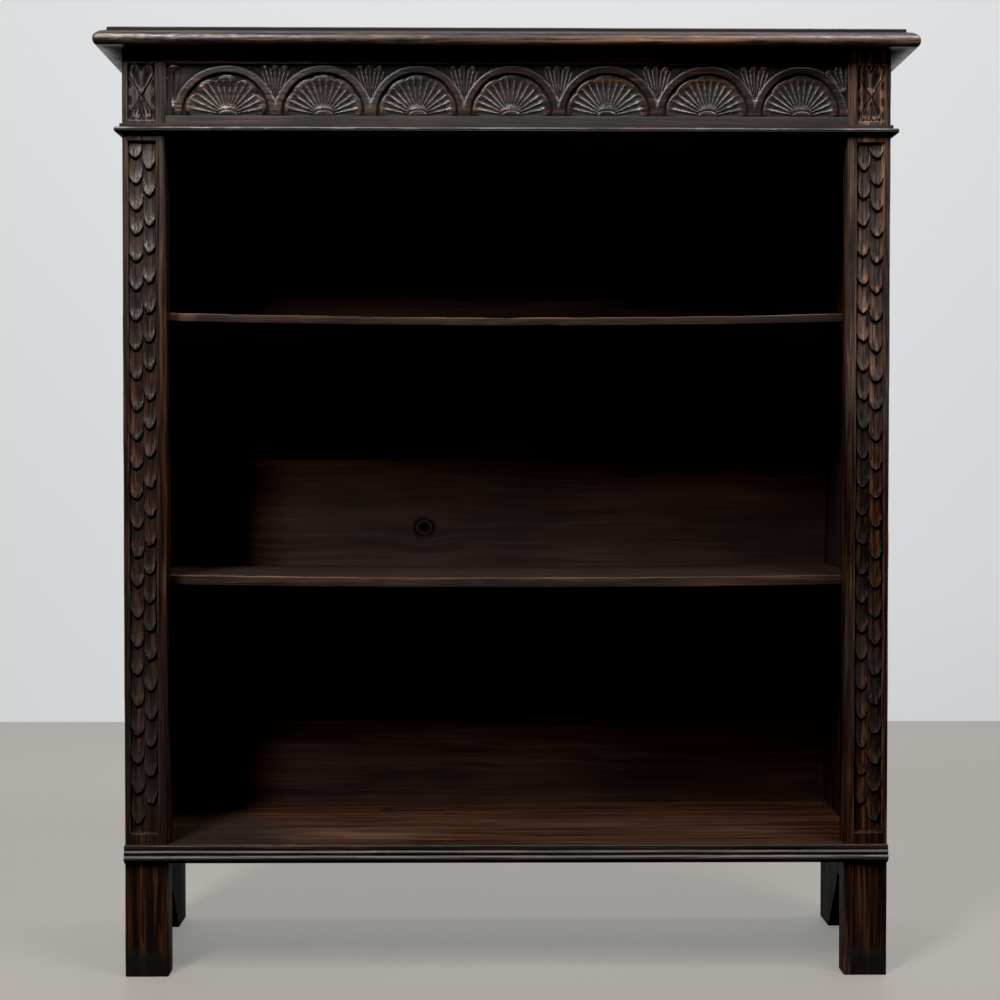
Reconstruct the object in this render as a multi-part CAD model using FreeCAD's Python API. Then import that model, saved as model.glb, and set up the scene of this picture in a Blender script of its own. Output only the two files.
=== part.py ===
# Open bookcase in dark oak: plank sides on bootjack feet, full-height stiles, a frieze between them,
# a moulded top, planted mouldings, a boarded back and two loose shelves on bearers.
# Millimetres. +Z is up, the open front faces -Y, and the origin is on the floor under the middle.
import FreeCAD, Part
import math
import os

Vector = FreeCAD.Vector

# Overall sizes
carcase_width = 850.0  # over the outer faces of the sides
carcase_depth = 265.0  # from the face of the stiles to the back edges of the sides
height = 1050.0  # from the floor to the upper face of the top board

# Top board and its thumb moulding
top_thickness = 22.0
top_overhang = 27.0  # past the stiles and past each side
top_set_back = 13.0  # from the nose to the small step round the upper face
top_step = 4.5  # height of that step
nose_height = 8.0  # of the foremost line of the nose over the underside
nose_return = 4.0  # how far the underside starts behind the nose

# Sides, with a bootjack cut between the feet
side_thickness = 24.0
foot_width = 51.0  # of the plank on each side of the cut, at the floor
bootjack_height = 88.0
bootjack_radius = 12.0  # of the saw's turn at the top of the cut

# Stiles, which are also the front feet
stile_width = 48.0
stile_thickness = 28.0
tongue_thickness = 8.0  # of the tongue on the side that enters the stile
tongue_length = 8.0

# Frieze rail, tenoned into the stiles
frieze_height = 93.0
frieze_thickness = 22.0
tenon_thickness = 8.0
tenon_length = 28.0
tenon_shoulder = 14.0  # under and over the tenon

# Moulding under the frieze: a round nose over a cove
frieze_moulding_height = 12.0
frieze_moulding_projection = 8.0
frieze_nose_radius = 3.2
frieze_moulding_foot = 0.6  # thickness left at the foot of the cove

# Reeded moulding over the edge of the bottom shelf
plinth_projection = 8.0
plinth_band = 5.5  # height of the flat band over the reeds
plinth_band_projection = 5.0
upper_reed_radius = 2.6
lower_reed_radius = 3.5
plinth_fillet = 2.3  # height of the narrow flat under the reeds

# Shelves
bottom_shelf_top = 148.0
bottom_shelf_thickness = 20.0
housing_depth = 8.0  # of the bottom shelf in each side
lower_shelf_top = 447.0
lower_shelf_thickness = 12.0
lower_shelf_sag = 3.5
upper_shelf_top = 742.0
upper_shelf_thickness = 10.0
upper_shelf_sag = 5.0
shelf_set_back = 6.0  # of the loose shelves' front edges behind the stiles

# Bearers under the loose shelves, and cleats under the top
bearer_thickness = 16.0
bearer_height = 20.0
bearer_splay = 10.0  # cut off the lower front corner
cleat_size = 22.0

# Back boards, tongued together and set in a rebate
back_board_count = 6
back_thickness = 12.0
back_recess = 1.5  # of the boards inside the back edges of the sides
rebate_width = 12.0
back_tongue_thickness = 4.0
back_tongue_height = 5.0

# Triangular glue blocks
glue_block_size = 20.0
glue_block_length = 50.0
frieze_block_count = 4
frieze_block_spacing = 180.0
shelf_block_inset = 30.0  # from the ends of the bottom shelf's run along the side

# Screws of the bearers and cleats
screw_radius = 2.0
screw_head_radius = 4.0
screw_head_height = 2.4
screw_bite = 13.0  # of the thread in the board behind
screw_point = 4.0  # length of the tapered end
screw_sides = 12  # flats that stand for its round outline, because there are many screws
screw_end_distance = 35.0  # from the ends of a bearer or cleat

# Square cut nails of the back
nail_width = 2.0
nail_head_width = 5.0
nail_head_height = 1.0
nail_bite = 14.0
nail_edge_distance = 30.0  # from the edges of a back board

# Clearances
glue_gap = 0.2  # at the bottom of a mortise or groove
shelf_end_gap = 1.0  # between a loose shelf and each side
shelf_back_gap = 2.0  # between a loose shelf and the back
back_end_gap = 0.5  # at each end of a back board
bore_gap = 0.1  # round a fastener's shank
tip_gap = 1.0  # past a fastener's point

# Planes that the pieces share
half_width = carcase_width / 2
overall_depth = carcase_depth + top_overhang
front_y = -overall_depth / 2
back_y = overall_depth / 2
face_y = front_y + top_overhang
stile_back_y = face_y + stile_thickness
stile_inner_x = half_width - stile_width
side_inner_x = half_width - side_thickness
top_underside = height - top_thickness
frieze_bottom = top_underside - frieze_height
bottom_shelf_underside = bottom_shelf_top - bottom_shelf_thickness
rebate_y = back_y - back_thickness - back_recess
loose_shelf_front_y = stile_back_y + shelf_set_back
loose_shelf_back_y = rebate_y - shelf_back_gap


def block(x, y, z):
    """A box between the two ends given along each axis."""
    size = [high - low for low, high in (x, y, z)]
    return Part.makeBox(*size, Vector(x[0], y[0], z[0]))


def mirrored(shape):
    """The same piece for the left-hand side."""
    return shape.mirror(Vector(0, 0, 0), Vector(1, 0, 0))


def flat_face(place, start, *steps):
    """A closed face from profile points: a step of one point is a line, a step of two is an arc."""
    edges = []
    here = place(*start)
    for *middle, end in steps:
        there = place(*end)
        if middle:
            edges.append(Part.Arc(here, place(*middle[0]), there).toShape())
        else:
            edges.append(Part.LineSegment(here, there).toShape())
        here = there
    edges.append(Part.LineSegment(here, place(*start)).toShape())
    return Part.Face(Part.Wire(edges))


def on_ellipse(centre, across, up, degrees):
    """A point on an upright ellipse in profile coordinates."""
    angle = math.radians(degrees)
    return centre[0] + across * math.cos(angle), centre[1] + up * math.sin(angle)


def top_waste(place):
    """What the moulding plane takes off one edge of the top board, seen along that edge."""
    margin = 1.0
    step_z = top_thickness - top_step
    thumb = on_ellipse((top_set_back, nose_height), top_set_back, step_z - nose_height, 135)
    under = on_ellipse((nose_return, nose_height), nose_return, nose_height, 225)
    return flat_face(
        place,
        (-margin, -margin),
        ((nose_return, -margin),),
        ((nose_return, 0),),
        (under, (0, nose_height)),
        (thumb, (top_set_back, step_z)),
        ((top_set_back, top_thickness + margin),),
        ((-margin, top_thickness + margin),),
    )


def top_board():
    """The top, moulded along the front and both ends, square at the back."""
    half_top = half_width + top_overhang
    board = block((-half_top, half_top), (front_y, back_y), (top_underside, height))
    long_run = Vector(2 * half_top, 0, 0)
    front = top_waste(lambda p, z: Vector(-half_top, front_y + p, top_underside + z)).extrude(long_run)
    short_run = Vector(0, overall_depth, 0)
    right = top_waste(lambda p, z: Vector(half_top - p, front_y, top_underside + z)).extrude(short_run)
    board = board.cut([front, right, mirrored(right)])
    return board.cut(cleat_holes())


def side_board():
    """The right-hand plank: a tongue in front, a rebate behind, a housing and two feet below."""
    cut_front = stile_back_y + foot_width
    cut_back = back_y - foot_width
    middle = (cut_front + cut_back) / 2
    half_angle = math.atan2(middle - cut_front, bootjack_height)
    along = bootjack_radius / math.tan(half_angle)
    turn_y = along * math.sin(half_angle)
    turn_z = bootjack_height - along * math.cos(half_angle)
    crown = bootjack_height - bootjack_radius / math.sin(half_angle) + bootjack_radius
    plank = flat_face(
        lambda y, z: Vector(side_inner_x, y, z),
        (stile_back_y, 0),
        ((cut_front, 0),),
        ((middle - turn_y, turn_z),),
        ((middle, crown), (middle + turn_y, turn_z)),
        ((cut_back, 0),),
        ((back_y, 0),),
        ((back_y, top_underside),),
        ((stile_back_y, top_underside),),
    ).extrude(Vector(side_thickness, 0, 0))
    plank = plank.fuse(side_tongue(0)).removeSplitter()
    rebate_x = side_inner_x + rebate_width
    rebate = block((side_inner_x, rebate_x), (rebate_y, back_y), (bottom_shelf_underside, top_underside))
    housing_x = side_inner_x + housing_depth
    housing = block(
        (side_inner_x, housing_x), (stile_back_y, rebate_y), (bottom_shelf_underside, bottom_shelf_top)
    )
    return plank.cut([rebate, housing, bearer_holes(), cleat_holes(), nail_holes()])


def side_tongue(gap):
    """The tongue along the front of the right-hand side, or with a gap the groove that takes it."""
    middle_x = half_width - side_thickness / 2
    across = (middle_x - tongue_thickness / 2, middle_x + tongue_thickness / 2)
    return block(across, (stile_back_y - tongue_length - gap, stile_back_y), (0, top_underside))


def frieze_tenon(gap):
    """The right-hand tenon of the frieze rail, or with a gap the mortise that takes it."""
    middle_y = face_y + frieze_thickness / 2
    through = (middle_y - tenon_thickness / 2, middle_y + tenon_thickness / 2)
    upright = (frieze_bottom + tenon_shoulder, top_underside - tenon_shoulder)
    return block((stile_inner_x, stile_inner_x + tenon_length + gap), through, upright)


def stile():
    """The right-hand stile, from the floor to the top, grooved behind and mortised inside."""
    post = block((stile_inner_x, half_width), (face_y, stile_back_y), (0, top_underside))
    return post.cut([side_tongue(glue_gap), frieze_tenon(glue_gap)])


def frieze_rail():
    """The rail over the opening, with a tenon at each end."""
    through = (face_y, face_y + frieze_thickness)
    rail = block((-stile_inner_x, stile_inner_x), through, (frieze_bottom, top_underside))
    tenon = frieze_tenon(0)
    return rail.fuse([tenon, mirrored(tenon)]).removeSplitter()


def frieze_moulding_section(place):
    """The section of the frieze moulding: how far it stands out, and its height over its foot."""
    nose_x = frieze_moulding_projection - frieze_nose_radius
    nose_z = frieze_moulding_height - frieze_nose_radius
    cove = nose_z - frieze_nose_radius
    cove_centre = (frieze_moulding_foot + cove, 0)
    return flat_face(
        lambda out, up: place(out, frieze_bottom + up),
        (0, 0),
        ((frieze_moulding_foot, 0),),
        (on_ellipse(cove_centre, cove, cove, 135), (frieze_moulding_foot + cove, cove)),
        ((nose_x, cove),),
        ((frieze_moulding_projection, nose_z), (nose_x, frieze_moulding_height)),
        ((0, frieze_moulding_height),),
    )


def mitre(*corners):
    """A tall prism over the given corners, which trims a moulding to its mitres."""
    points = [Vector(x, y, 0) for x, y in corners]
    return Part.Face(Part.makePolygon(points + points[:1])).extrude(Vector(0, 0, height))


def frieze_moulding_front():
    """The strip across the front, mitred at both ends."""
    out_x = half_width + frieze_moulding_projection
    out_y = face_y - frieze_moulding_projection
    section = frieze_moulding_section(lambda out, z: Vector(-out_x, face_y - out, z))
    strip = section.extrude(Vector(2 * out_x, 0, 0))
    ends = mitre((-half_width, face_y), (half_width, face_y), (out_x, out_y), (-out_x, out_y))
    return strip.common(ends)


def frieze_moulding_return():
    """The strip along the right-hand side, mitred in front and square behind."""
    out_x = half_width + frieze_moulding_projection
    out_y = face_y - frieze_moulding_projection
    section = frieze_moulding_section(lambda out, z: Vector(half_width + out, out_y, z))
    strip = section.extrude(Vector(0, back_y - out_y, 0))
    ends = mitre((half_width, face_y), (out_x, out_y), (out_x, back_y), (half_width, back_y))
    return strip.common(ends)


def plinth_moulding():
    """The strip over the bottom shelf's edge and the stiles: two reeds under a flat band."""
    lower_z = plinth_fillet + lower_reed_radius
    lower_x = plinth_projection - lower_reed_radius
    upper_z = lower_z + lower_reed_radius + upper_reed_radius
    upper_x = plinth_band_projection - upper_reed_radius / 4
    band_z = upper_z + upper_reed_radius
    plinth_height = band_z + plinth_band
    section = flat_face(
        lambda out, up: Vector(-half_width, face_y - out, bottom_shelf_top - plinth_height + up),
        (0, 0),
        ((lower_x, 0),),
        ((lower_x, plinth_fillet),),
        ((plinth_projection, lower_z), (lower_x, lower_z + lower_reed_radius)),
        ((upper_x, upper_z - upper_reed_radius),),
        ((upper_x + upper_reed_radius, upper_z), (upper_x, upper_z + upper_reed_radius)),
        ((plinth_band_projection, band_z),),
        ((plinth_band_projection, plinth_height),),
        ((0, plinth_height),),
    )
    return section.extrude(Vector(carcase_width, 0, 0))


def bottom_shelf():
    """The fixed shelf, housed in the sides and notched round the stiles."""
    upright = (bottom_shelf_underside, bottom_shelf_top)
    end_x = side_inner_x + housing_depth
    behind = block((-end_x, end_x), (stile_back_y, rebate_y), upright)
    between = block((-stile_inner_x, stile_inner_x), (face_y, stile_back_y), upright)
    return behind.fuse(between).removeSplitter().cut(nail_holes())


def loose_shelf(top, thickness, sag):
    """A shelf that lies on its bearers, flat at both ends and bowed down between them."""
    end_x = side_inner_x - shelf_end_gap
    seat_x = side_inner_x - bearer_thickness
    underside = top - thickness
    section = flat_face(
        lambda x, z: Vector(x, loose_shelf_front_y, z),
        (-end_x, underside),
        ((-seat_x, underside),),
        ((0, underside - sag), (seat_x, underside)),
        ((end_x, underside),),
        ((end_x, top),),
        ((seat_x, top),),
        ((0, top - sag), (-seat_x, top)),
        ((-end_x, top),),
    )
    return section.extrude(Vector(0, loose_shelf_back_y - loose_shelf_front_y, 0))


def bearer(shelf_underside):
    """The right-hand batten under a loose shelf, splayed at its front end."""
    section = flat_face(
        lambda y, z: Vector(side_inner_x - bearer_thickness, y, z),
        (loose_shelf_front_y, shelf_underside),
        ((loose_shelf_back_y, shelf_underside),),
        ((loose_shelf_back_y, shelf_underside - bearer_height),),
        ((loose_shelf_front_y + bearer_splay, shelf_underside - bearer_height),),
        ((loose_shelf_front_y, shelf_underside - bearer_height + bearer_splay),),
    )
    return section.extrude(Vector(bearer_thickness, 0, 0)).cut(bearer_holes())


def top_cleat():
    """The right-hand batten that ties the top board to the side."""
    batten = block(
        (side_inner_x - cleat_size, side_inner_x),
        (loose_shelf_front_y, loose_shelf_back_y),
        (top_underside - cleat_size, top_underside),
    )
    return batten.cut(cleat_holes())


def back_board(index):
    """One board of the back, tongued above and grooved below where it meets another."""
    board_height = (top_underside - bottom_shelf_underside) / back_board_count
    bottom = bottom_shelf_underside + index * board_height
    end_x = side_inner_x + rebate_width - back_end_gap
    across = (-end_x, end_x)
    board = block(across, (rebate_y, rebate_y + back_thickness), (bottom, bottom + board_height))
    middle_y = rebate_y + back_thickness / 2
    tongue = (middle_y - back_tongue_thickness / 2, middle_y + back_tongue_thickness / 2)
    if index < back_board_count - 1:
        edge = bottom + board_height
        board = board.fuse(block(across, tongue, (edge, edge + back_tongue_height))).removeSplitter()
    if index > 0:
        board = board.cut(block(across, tongue, (bottom, bottom + back_tongue_height + glue_gap)))
    return board.cut(nail_holes())


def glue_block(corner, along, first, second):
    """A triangular block in a corner: its length, then the way each of its two seats runs."""
    points = [corner, corner + first * glue_block_size, corner + second * glue_block_size, corner]
    return Part.Face(Part.makePolygon(points)).extrude(along * glue_block_length)


def frieze_glue_blocks():
    """The row of blocks behind the frieze, under the top."""
    first_x = -(frieze_block_count - 1) / 2 * frieze_block_spacing - glue_block_length / 2
    blocks = []
    for index in range(frieze_block_count):
        corner = Vector(first_x + index * frieze_block_spacing, face_y + frieze_thickness, top_underside)
        blocks.append(glue_block(corner, Vector(1, 0, 0), Vector(0, 1, 0), Vector(0, 0, -1)))
    return Part.makeCompound(blocks)


def shelf_glue_blocks():
    """Two blocks under each end of the bottom shelf."""
    front = stile_back_y + shelf_block_inset
    rear = rebate_y - shelf_block_inset - glue_block_length
    blocks = []
    for y in (front, rear):
        corner = Vector(side_inner_x, y, bottom_shelf_underside)
        right = glue_block(corner, Vector(0, 1, 0), Vector(-1, 0, 0), Vector(0, 0, -1))
        blocks += [right, mirrored(right)]
    return Part.makeCompound(blocks)


def many_sided(radius, depth):
    """A regular outline with the screw's number of sides, at one depth along it."""
    turns = [2 * math.pi * step / screw_sides for step in range(screw_sides + 1)]
    return Part.makePolygon([Vector(radius * math.cos(turn), radius * math.sin(turn), depth) for turn in turns])


def screw(seat, way, length):
    """A screw: its head stands on the seat and its pointed shank runs the given way."""
    shoulder = length - screw_point
    head = Part.Face(many_sided(screw_head_radius, -screw_head_height)).extrude(Vector(0, 0, screw_head_height))
    shank = Part.Face(many_sided(screw_radius, 0)).extrude(Vector(0, 0, shoulder))
    point = Part.makeLoft([many_sided(screw_radius, shoulder), Part.Vertex(0, 0, length)], True, True)
    body = head.fuse([shank, point]).removeSplitter()
    body.Placement = FreeCAD.Placement(seat, FreeCAD.Rotation(Vector(0, 0, 1), way))
    return body


def screw_holes(seats, length):
    """The bores for a set of screws, with room round the shank and past the point."""
    radius = screw_radius + bore_gap
    return Part.makeCompound([Part.makeCylinder(radius, length + tip_gap, seat, way) for seat, way in seats])


def both_sides(seats):
    """The seats given for the right-hand side, and the same on the left."""
    left = [(Vector(-p.x, p.y, p.z), Vector(-way.x, way.y, way.z)) for p, way in seats]
    return seats + left


def batten_ends():
    """Where the screws stand along a bearer or cleat."""
    return loose_shelf_front_y + screw_end_distance, loose_shelf_back_y - screw_end_distance


def bearer_seats():
    """Two screws through each bearer into the side."""
    undersides = (lower_shelf_top - lower_shelf_thickness, upper_shelf_top - upper_shelf_thickness)
    inner = side_inner_x - bearer_thickness
    return both_sides(
        [
            (Vector(inner, y, underside - bearer_height / 2), Vector(1, 0, 0))
            for underside in undersides
            for y in batten_ends()
        ]
    )


def cleat_seats():
    """Two screws through each cleat into the side, and two up into the top between them."""
    inner = side_inner_x - cleat_size
    underside = top_underside - cleat_size
    front, rear = batten_ends()
    step = (rear - front) / 3
    seats = [(Vector(inner, y, underside + cleat_size / 2), Vector(1, 0, 0)) for y in (front, rear)]
    for y in (front + step, rear - step):
        seats.append((Vector(inner + cleat_size / 2, y, underside), Vector(0, 0, 1)))
    return both_sides(seats)


def nail_places():
    """Two nails through each end of every back board."""
    board_height = (top_underside - bottom_shelf_underside) / back_board_count
    x = side_inner_x + rebate_width / 2
    places = []
    for index in range(back_board_count):
        bottom = bottom_shelf_underside + index * board_height
        for z in (bottom + nail_edge_distance, bottom + board_height - nail_edge_distance):
            places += [(x, z), (-x, z)]
    return places


bearer_screw_length = bearer_thickness + screw_bite
cleat_screw_length = cleat_size + screw_bite


def bearer_holes():
    """The bores for the bearers' screws."""
    return screw_holes(bearer_seats(), bearer_screw_length)


def cleat_holes():
    """The bores for the cleats' screws."""
    return screw_holes(cleat_seats(), cleat_screw_length)


def screws(seats, length):
    """A set of equal screws."""
    return Part.makeCompound([screw(seat, way, length) for seat, way in seats])


def square_pins(width, rear, front):
    """A square pin at the place of every nail, from one depth to another."""
    reach = width / 2
    pins = []
    for x, z in nail_places():
        pins.append(block((x - reach, x + reach), (front, rear), (z - reach, z + reach)))
    return pins


def back_nails():
    """The nails of the back, with their heads on the boards' rear faces."""
    seat_y = rebate_y + back_thickness
    heads = square_pins(nail_head_width, seat_y + nail_head_height, seat_y)
    shanks = square_pins(nail_width, seat_y, rebate_y - nail_bite)
    return Part.makeCompound([head.fuse(shank) for head, shank in zip(heads, shanks)])


def nail_holes():
    """The holes for the nails, with room round the shank and past its end."""
    pins = square_pins(nail_width + 2 * bore_gap, rebate_y + back_thickness, rebate_y - nail_bite - tip_gap)
    return Part.makeCompound(pins)


def make_pieces():
    """Every piece by the name of its node."""
    side = side_board()
    post = stile()
    moulding = frieze_moulding_return()
    cleat = top_cleat()
    lower_bearer = bearer(lower_shelf_top - lower_shelf_thickness)
    upper_bearer = bearer(upper_shelf_top - upper_shelf_thickness)
    pieces = {
        "top_board": top_board(),
        "left_side": mirrored(side),
        "right_side": side,
        "left_stile": mirrored(post),
        "right_stile": post,
        "frieze_rail": frieze_rail(),
        "frieze_moulding_front": frieze_moulding_front(),
        "frieze_moulding_left": mirrored(moulding),
        "frieze_moulding_right": moulding,
        "plinth_moulding": plinth_moulding(),
        "bottom_shelf": bottom_shelf(),
        "lower_shelf": loose_shelf(lower_shelf_top, lower_shelf_thickness, lower_shelf_sag),
        "upper_shelf": loose_shelf(upper_shelf_top, upper_shelf_thickness, upper_shelf_sag),
        "lower_left_bearer": mirrored(lower_bearer),
        "lower_right_bearer": lower_bearer,
        "upper_left_bearer": mirrored(upper_bearer),
        "upper_right_bearer": upper_bearer,
        "left_top_cleat": mirrored(cleat),
        "right_top_cleat": cleat,
        "frieze_glue_blocks": frieze_glue_blocks(),
        "shelf_glue_blocks": shelf_glue_blocks(),
        "bearer_screws": screws(bearer_seats(), bearer_screw_length),
        "cleat_screws": screws(cleat_seats(), cleat_screw_length),
        "back_nails": back_nails(),
    }
    for index in range(back_board_count):
        pieces[f"back_board_{index + 1}"] = back_board(index)
    return pieces


os.makedirs("parts", exist_ok=True)
for name, shape in make_pieces().items():
    shape.exportStep(f"parts/{name}.step")
    print(f"{name}: {len(shape.Solids)} solid(s), {shape.Volume / 1000:.1f} cm3, valid {shape.isValid()}")
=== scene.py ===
# %% [markdown]
# # An open bookcase in dark oak
# The joinery of this bookcase is already made and packed: every board has its size and its place.
# This lesson gives it its looks. We carve the stiles and the frieze, wear down the mouldings and shelves,
# stain and wax the wood, and put the whole on a pale floor in soft light.
# The frame comes first, because every later piece takes its place from a board of the frame.

# %% Load the frame
import math
import bmesh
import bpy
import numpy as np
from mathutils import Matrix, Vector


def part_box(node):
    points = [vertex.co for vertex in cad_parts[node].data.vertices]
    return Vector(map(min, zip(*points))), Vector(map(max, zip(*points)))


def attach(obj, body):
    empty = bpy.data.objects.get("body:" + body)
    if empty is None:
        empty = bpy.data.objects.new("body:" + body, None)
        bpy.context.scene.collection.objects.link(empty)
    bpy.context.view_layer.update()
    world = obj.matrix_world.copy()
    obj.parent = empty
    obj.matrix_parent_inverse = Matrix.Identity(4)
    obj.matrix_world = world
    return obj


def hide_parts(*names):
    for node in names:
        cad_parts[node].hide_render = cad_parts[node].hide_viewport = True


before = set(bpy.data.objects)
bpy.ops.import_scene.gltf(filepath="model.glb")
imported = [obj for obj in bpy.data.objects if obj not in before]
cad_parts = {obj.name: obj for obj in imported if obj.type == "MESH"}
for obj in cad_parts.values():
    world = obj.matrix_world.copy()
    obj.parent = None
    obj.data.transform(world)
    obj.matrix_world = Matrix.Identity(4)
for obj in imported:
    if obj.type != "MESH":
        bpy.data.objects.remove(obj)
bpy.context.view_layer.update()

MM = 0.001  # the carving is marked out in millimetres, and Blender works in metres
print("boards in the frame:", len(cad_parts))

# %% [markdown]
# ## The camera
# The picture was taken almost square to the front, from a little over half the height of the case.
# A camera can be placed by eye, but straight furniture shows every error in its edges.
# So the place and the three small turns come from matching the corners of the frame with the picture.

# %% Camera
picture_width = 1000  # pixels
focal_pixels = 1800
sensor_width = 36.0  # millimetres
camera_place = Vector((-29.8, -2116.2, 577.3)) * MM
camera_yaw = -0.0110  # radians
camera_pitch = -0.0228
camera_roll = 0.0005

camera_data = bpy.data.cameras.new("camera")
camera_data.sensor_width = sensor_width
camera_data.lens = sensor_width * focal_pixels / picture_width
camera = bpy.data.objects.new("camera", camera_data)
bpy.context.scene.collection.objects.link(camera)
level = Matrix.Rotation(camera_yaw, 4, "Z") @ Matrix.Rotation(math.pi / 2 + camera_pitch, 4, "X")
camera.matrix_world = Matrix.Translation(camera_place) @ level @ Matrix.Rotation(camera_roll, 4, "Z")
bpy.context.scene.camera = camera
print("lens in millimetres:", round(camera_data.lens, 1))

# %% [markdown]
# ## Small helpers for shader nodes
# A material is a tree of nodes. Writing each node and each link by hand takes three lines, so these helpers
# make a node, set its inputs to values or to other nodes' outputs, and hand back the output that is wanted.

# %% Node helpers
def add_node(tree, kind, inputs=None, **settings):
    """A shader node whose inputs are values, or outputs of other nodes."""
    made = tree.nodes.new("ShaderNode" + kind)
    for name, value in settings.items():
        setattr(made, name, value)
    for name, value in (inputs or {}).items():
        if isinstance(value, bpy.types.NodeSocket):
            tree.links.new(value, made.inputs[name])
        else:
            made.inputs[name].default_value = value
    return made


def reckon(tree, operation, first, second=0.0):
    """One sum on two values."""
    return add_node(tree, "Math", {0: first, 1: second}, operation=operation).outputs[0]


def add_shares(tree, start, *terms):
    """A starting value with a share of each other value added to it."""
    total = start
    for value, share in terms:
        total = reckon(tree, "ADD", total, reckon(tree, "MULTIPLY", value, share))
    return total


def fit(tree, value, low, high):
    """A value stretched so that low becomes 0 and high becomes 1, and cut off outside."""
    return add_node(tree, "MapRange", {"Value": value, "From Min": low, "From Max": high}).outputs[0]


def mix_colours(tree, amount, first, second):
    """The first colour, with an amount of the second laid over it."""
    return add_node(tree, "Mix", {0: amount, 6: first, 7: second}, data_type="RGBA").outputs[2]


def lay_over(tree, colour, mask, share, second):
    """A colour with a share of a second one laid over it where a mask says so."""
    return mix_colours(tree, reckon(tree, "MULTIPLY", mask, share), colour, second)


def vector_sum(tree, operation, first, second=(0.0, 0.0, 0.0)):
    """One sum on two vectors."""
    return add_node(tree, "VectorMath", {0: first, 1: second}, operation=operation).outputs[0]


def cloud(tree, vector, scale, detail=2.0, output=0):
    """A soft random value round 0.5, or with output 1 a random vector, from a noise texture."""
    inputs = {"Vector": vector_sum(tree, "MULTIPLY", vector, scale), "Scale": 1.0, "Detail": detail}
    return add_node(tree, "TexNoise", inputs).outputs[output]


def axes(tree, vector):
    """The three coordinates of a vector."""
    return add_node(tree, "SeparateXYZ", {0: vector}).outputs


def object_spot(tree):
    """The place of each point on the object itself."""
    return add_node(tree, "TexCoord").outputs["Object"]


def new_group(name, inputs, outputs):
    """An empty shader node group with named sockets, and its two end nodes."""
    group = bpy.data.node_groups.new(name, "ShaderNodeTree")
    for socket, kind in inputs.items():
        group.interface.new_socket(socket, in_out="INPUT", socket_type="NodeSocket" + kind)
    for socket in outputs:
        group.interface.new_socket(socket, in_out="OUTPUT", socket_type="NodeSocketFloat")
    return group, group.nodes.new("NodeGroupInput").outputs, group.nodes.new("NodeGroupOutput").inputs


def use_group(tree, group, inputs):
    """A node group placed in a material, with its own values."""
    return add_node(tree, "Group", inputs, node_tree=group).outputs


def new_material(name):
    """A material with a bare Principled shader, and the two things a finish needs from it."""
    material = bpy.data.materials.new(name)
    material.use_nodes = True
    return material, material.node_tree, material.node_tree.nodes["Principled BSDF"]


print("node helpers are ready")

# %% [markdown]
# ## Floor and wall
# The room is not part of the object. A plain matt floor catches the shadows of the feet, and a plain white
# wall stands where the picture's wall stands. The wall can only be seen from its front, so that a camera
# behind it still sees the back of the bookcase: its shader turns clear on the back faces.
# The floor is dark in mirrors only. A photographer lays a dark cloth in front of dark furniture, or the wax
# mirrors the floor and turns grey; here a Light Path node does the same without a cloth in the picture.
# Floor and wall also shine a little by themselves, which keeps the shadows on them soft.

# %% Stage
wall_distance = 1.83  # metres behind the middle of the case
stage_reach = 9.0
wall_height = 4.0
floor_colours = ((0.150, 0.128, 0.112, 1.0), (0.165, 0.142, 0.125, 1.0))
floor_clouds = (3.0, 3.0, 3.0)  # in a metre
floor_glow = (0.205, 0.203, 0.192, 1.0)
floor_roughness = 0.6
cloth_colour = (0.03, 0.028, 0.026, 1.0)
wall_colour = (0.34, 0.345, 0.35, 1.0)
wall_glow = (0.40, 0.412, 0.42, 1.0)
wall_roughness = 0.9
black = (0.0, 0.0, 0.0, 1.0)


def stage_sheet(name, corners, material):
    """A single flat sheet that belongs to the stage."""
    mesh = bpy.data.meshes.new(name)
    mesh.from_pydata(corners, [], [(0, 1, 2, 3)])
    mesh.materials.append(material)
    sheet = bpy.data.objects.new(name, mesh)
    bpy.context.scene.collection.objects.link(sheet)


floor_paint, tree, shader = new_material("pale floor")
pale = mix_colours(tree, cloud(tree, object_spot(tree), floor_clouds), *floor_colours)
rays = add_node(tree, "LightPath").outputs
tree.links.new(mix_colours(tree, rays["Is Glossy Ray"], pale, cloth_colour), shader.inputs["Base Color"])
tree.links.new(mix_colours(tree, rays["Is Camera Ray"], black, floor_glow), shader.inputs["Emission Color"])
shader.inputs["Emission Strength"].default_value = 1.0
shader.inputs["Roughness"].default_value = floor_roughness

wall_paint, tree, shader = new_material("white wall")
shader.inputs["Base Color"].default_value = wall_colour
shader.inputs["Emission Color"].default_value = wall_glow
shader.inputs["Emission Strength"].default_value = 1.0
shader.inputs["Roughness"].default_value = wall_roughness
clear = add_node(tree, "BsdfTransparent").outputs[0]
behind = add_node(tree, "NewGeometry").outputs["Backfacing"]
one_sided = add_node(tree, "MixShader", {0: behind, 1: shader.outputs[0], 2: clear})
tree.links.new(one_sided.outputs[0], tree.nodes["Material Output"].inputs["Surface"])

r, d, h = stage_reach, wall_distance, wall_height
stage_sheet("floor", [(-r, -r, 0), (r, -r, 0), (r, r, 0), (-r, r, 0)], floor_paint)
stage_sheet("wall", [(-r, d, 0), (r, d, 0), (r, d, h), (-r, d, h)], wall_paint)
print("the wall stands", wall_distance, "metres behind the middle")

# %% [markdown]
# ## Light
# Three soft lights do the work. The key light hangs high in front and to the left: it is small enough to
# glint on the carving, and each shelf keeps the top of the bay under it black. Its place was worked out
# backwards, from where the shadows of the shelves end on the back boards. A steeper light hangs over the
# front edge and grazes the carving, so the upper part of the case is brighter than its feet.
# The third light washes the wall only.
# The world adds a little fill, and shows as a pale ground behind everything.

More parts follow.
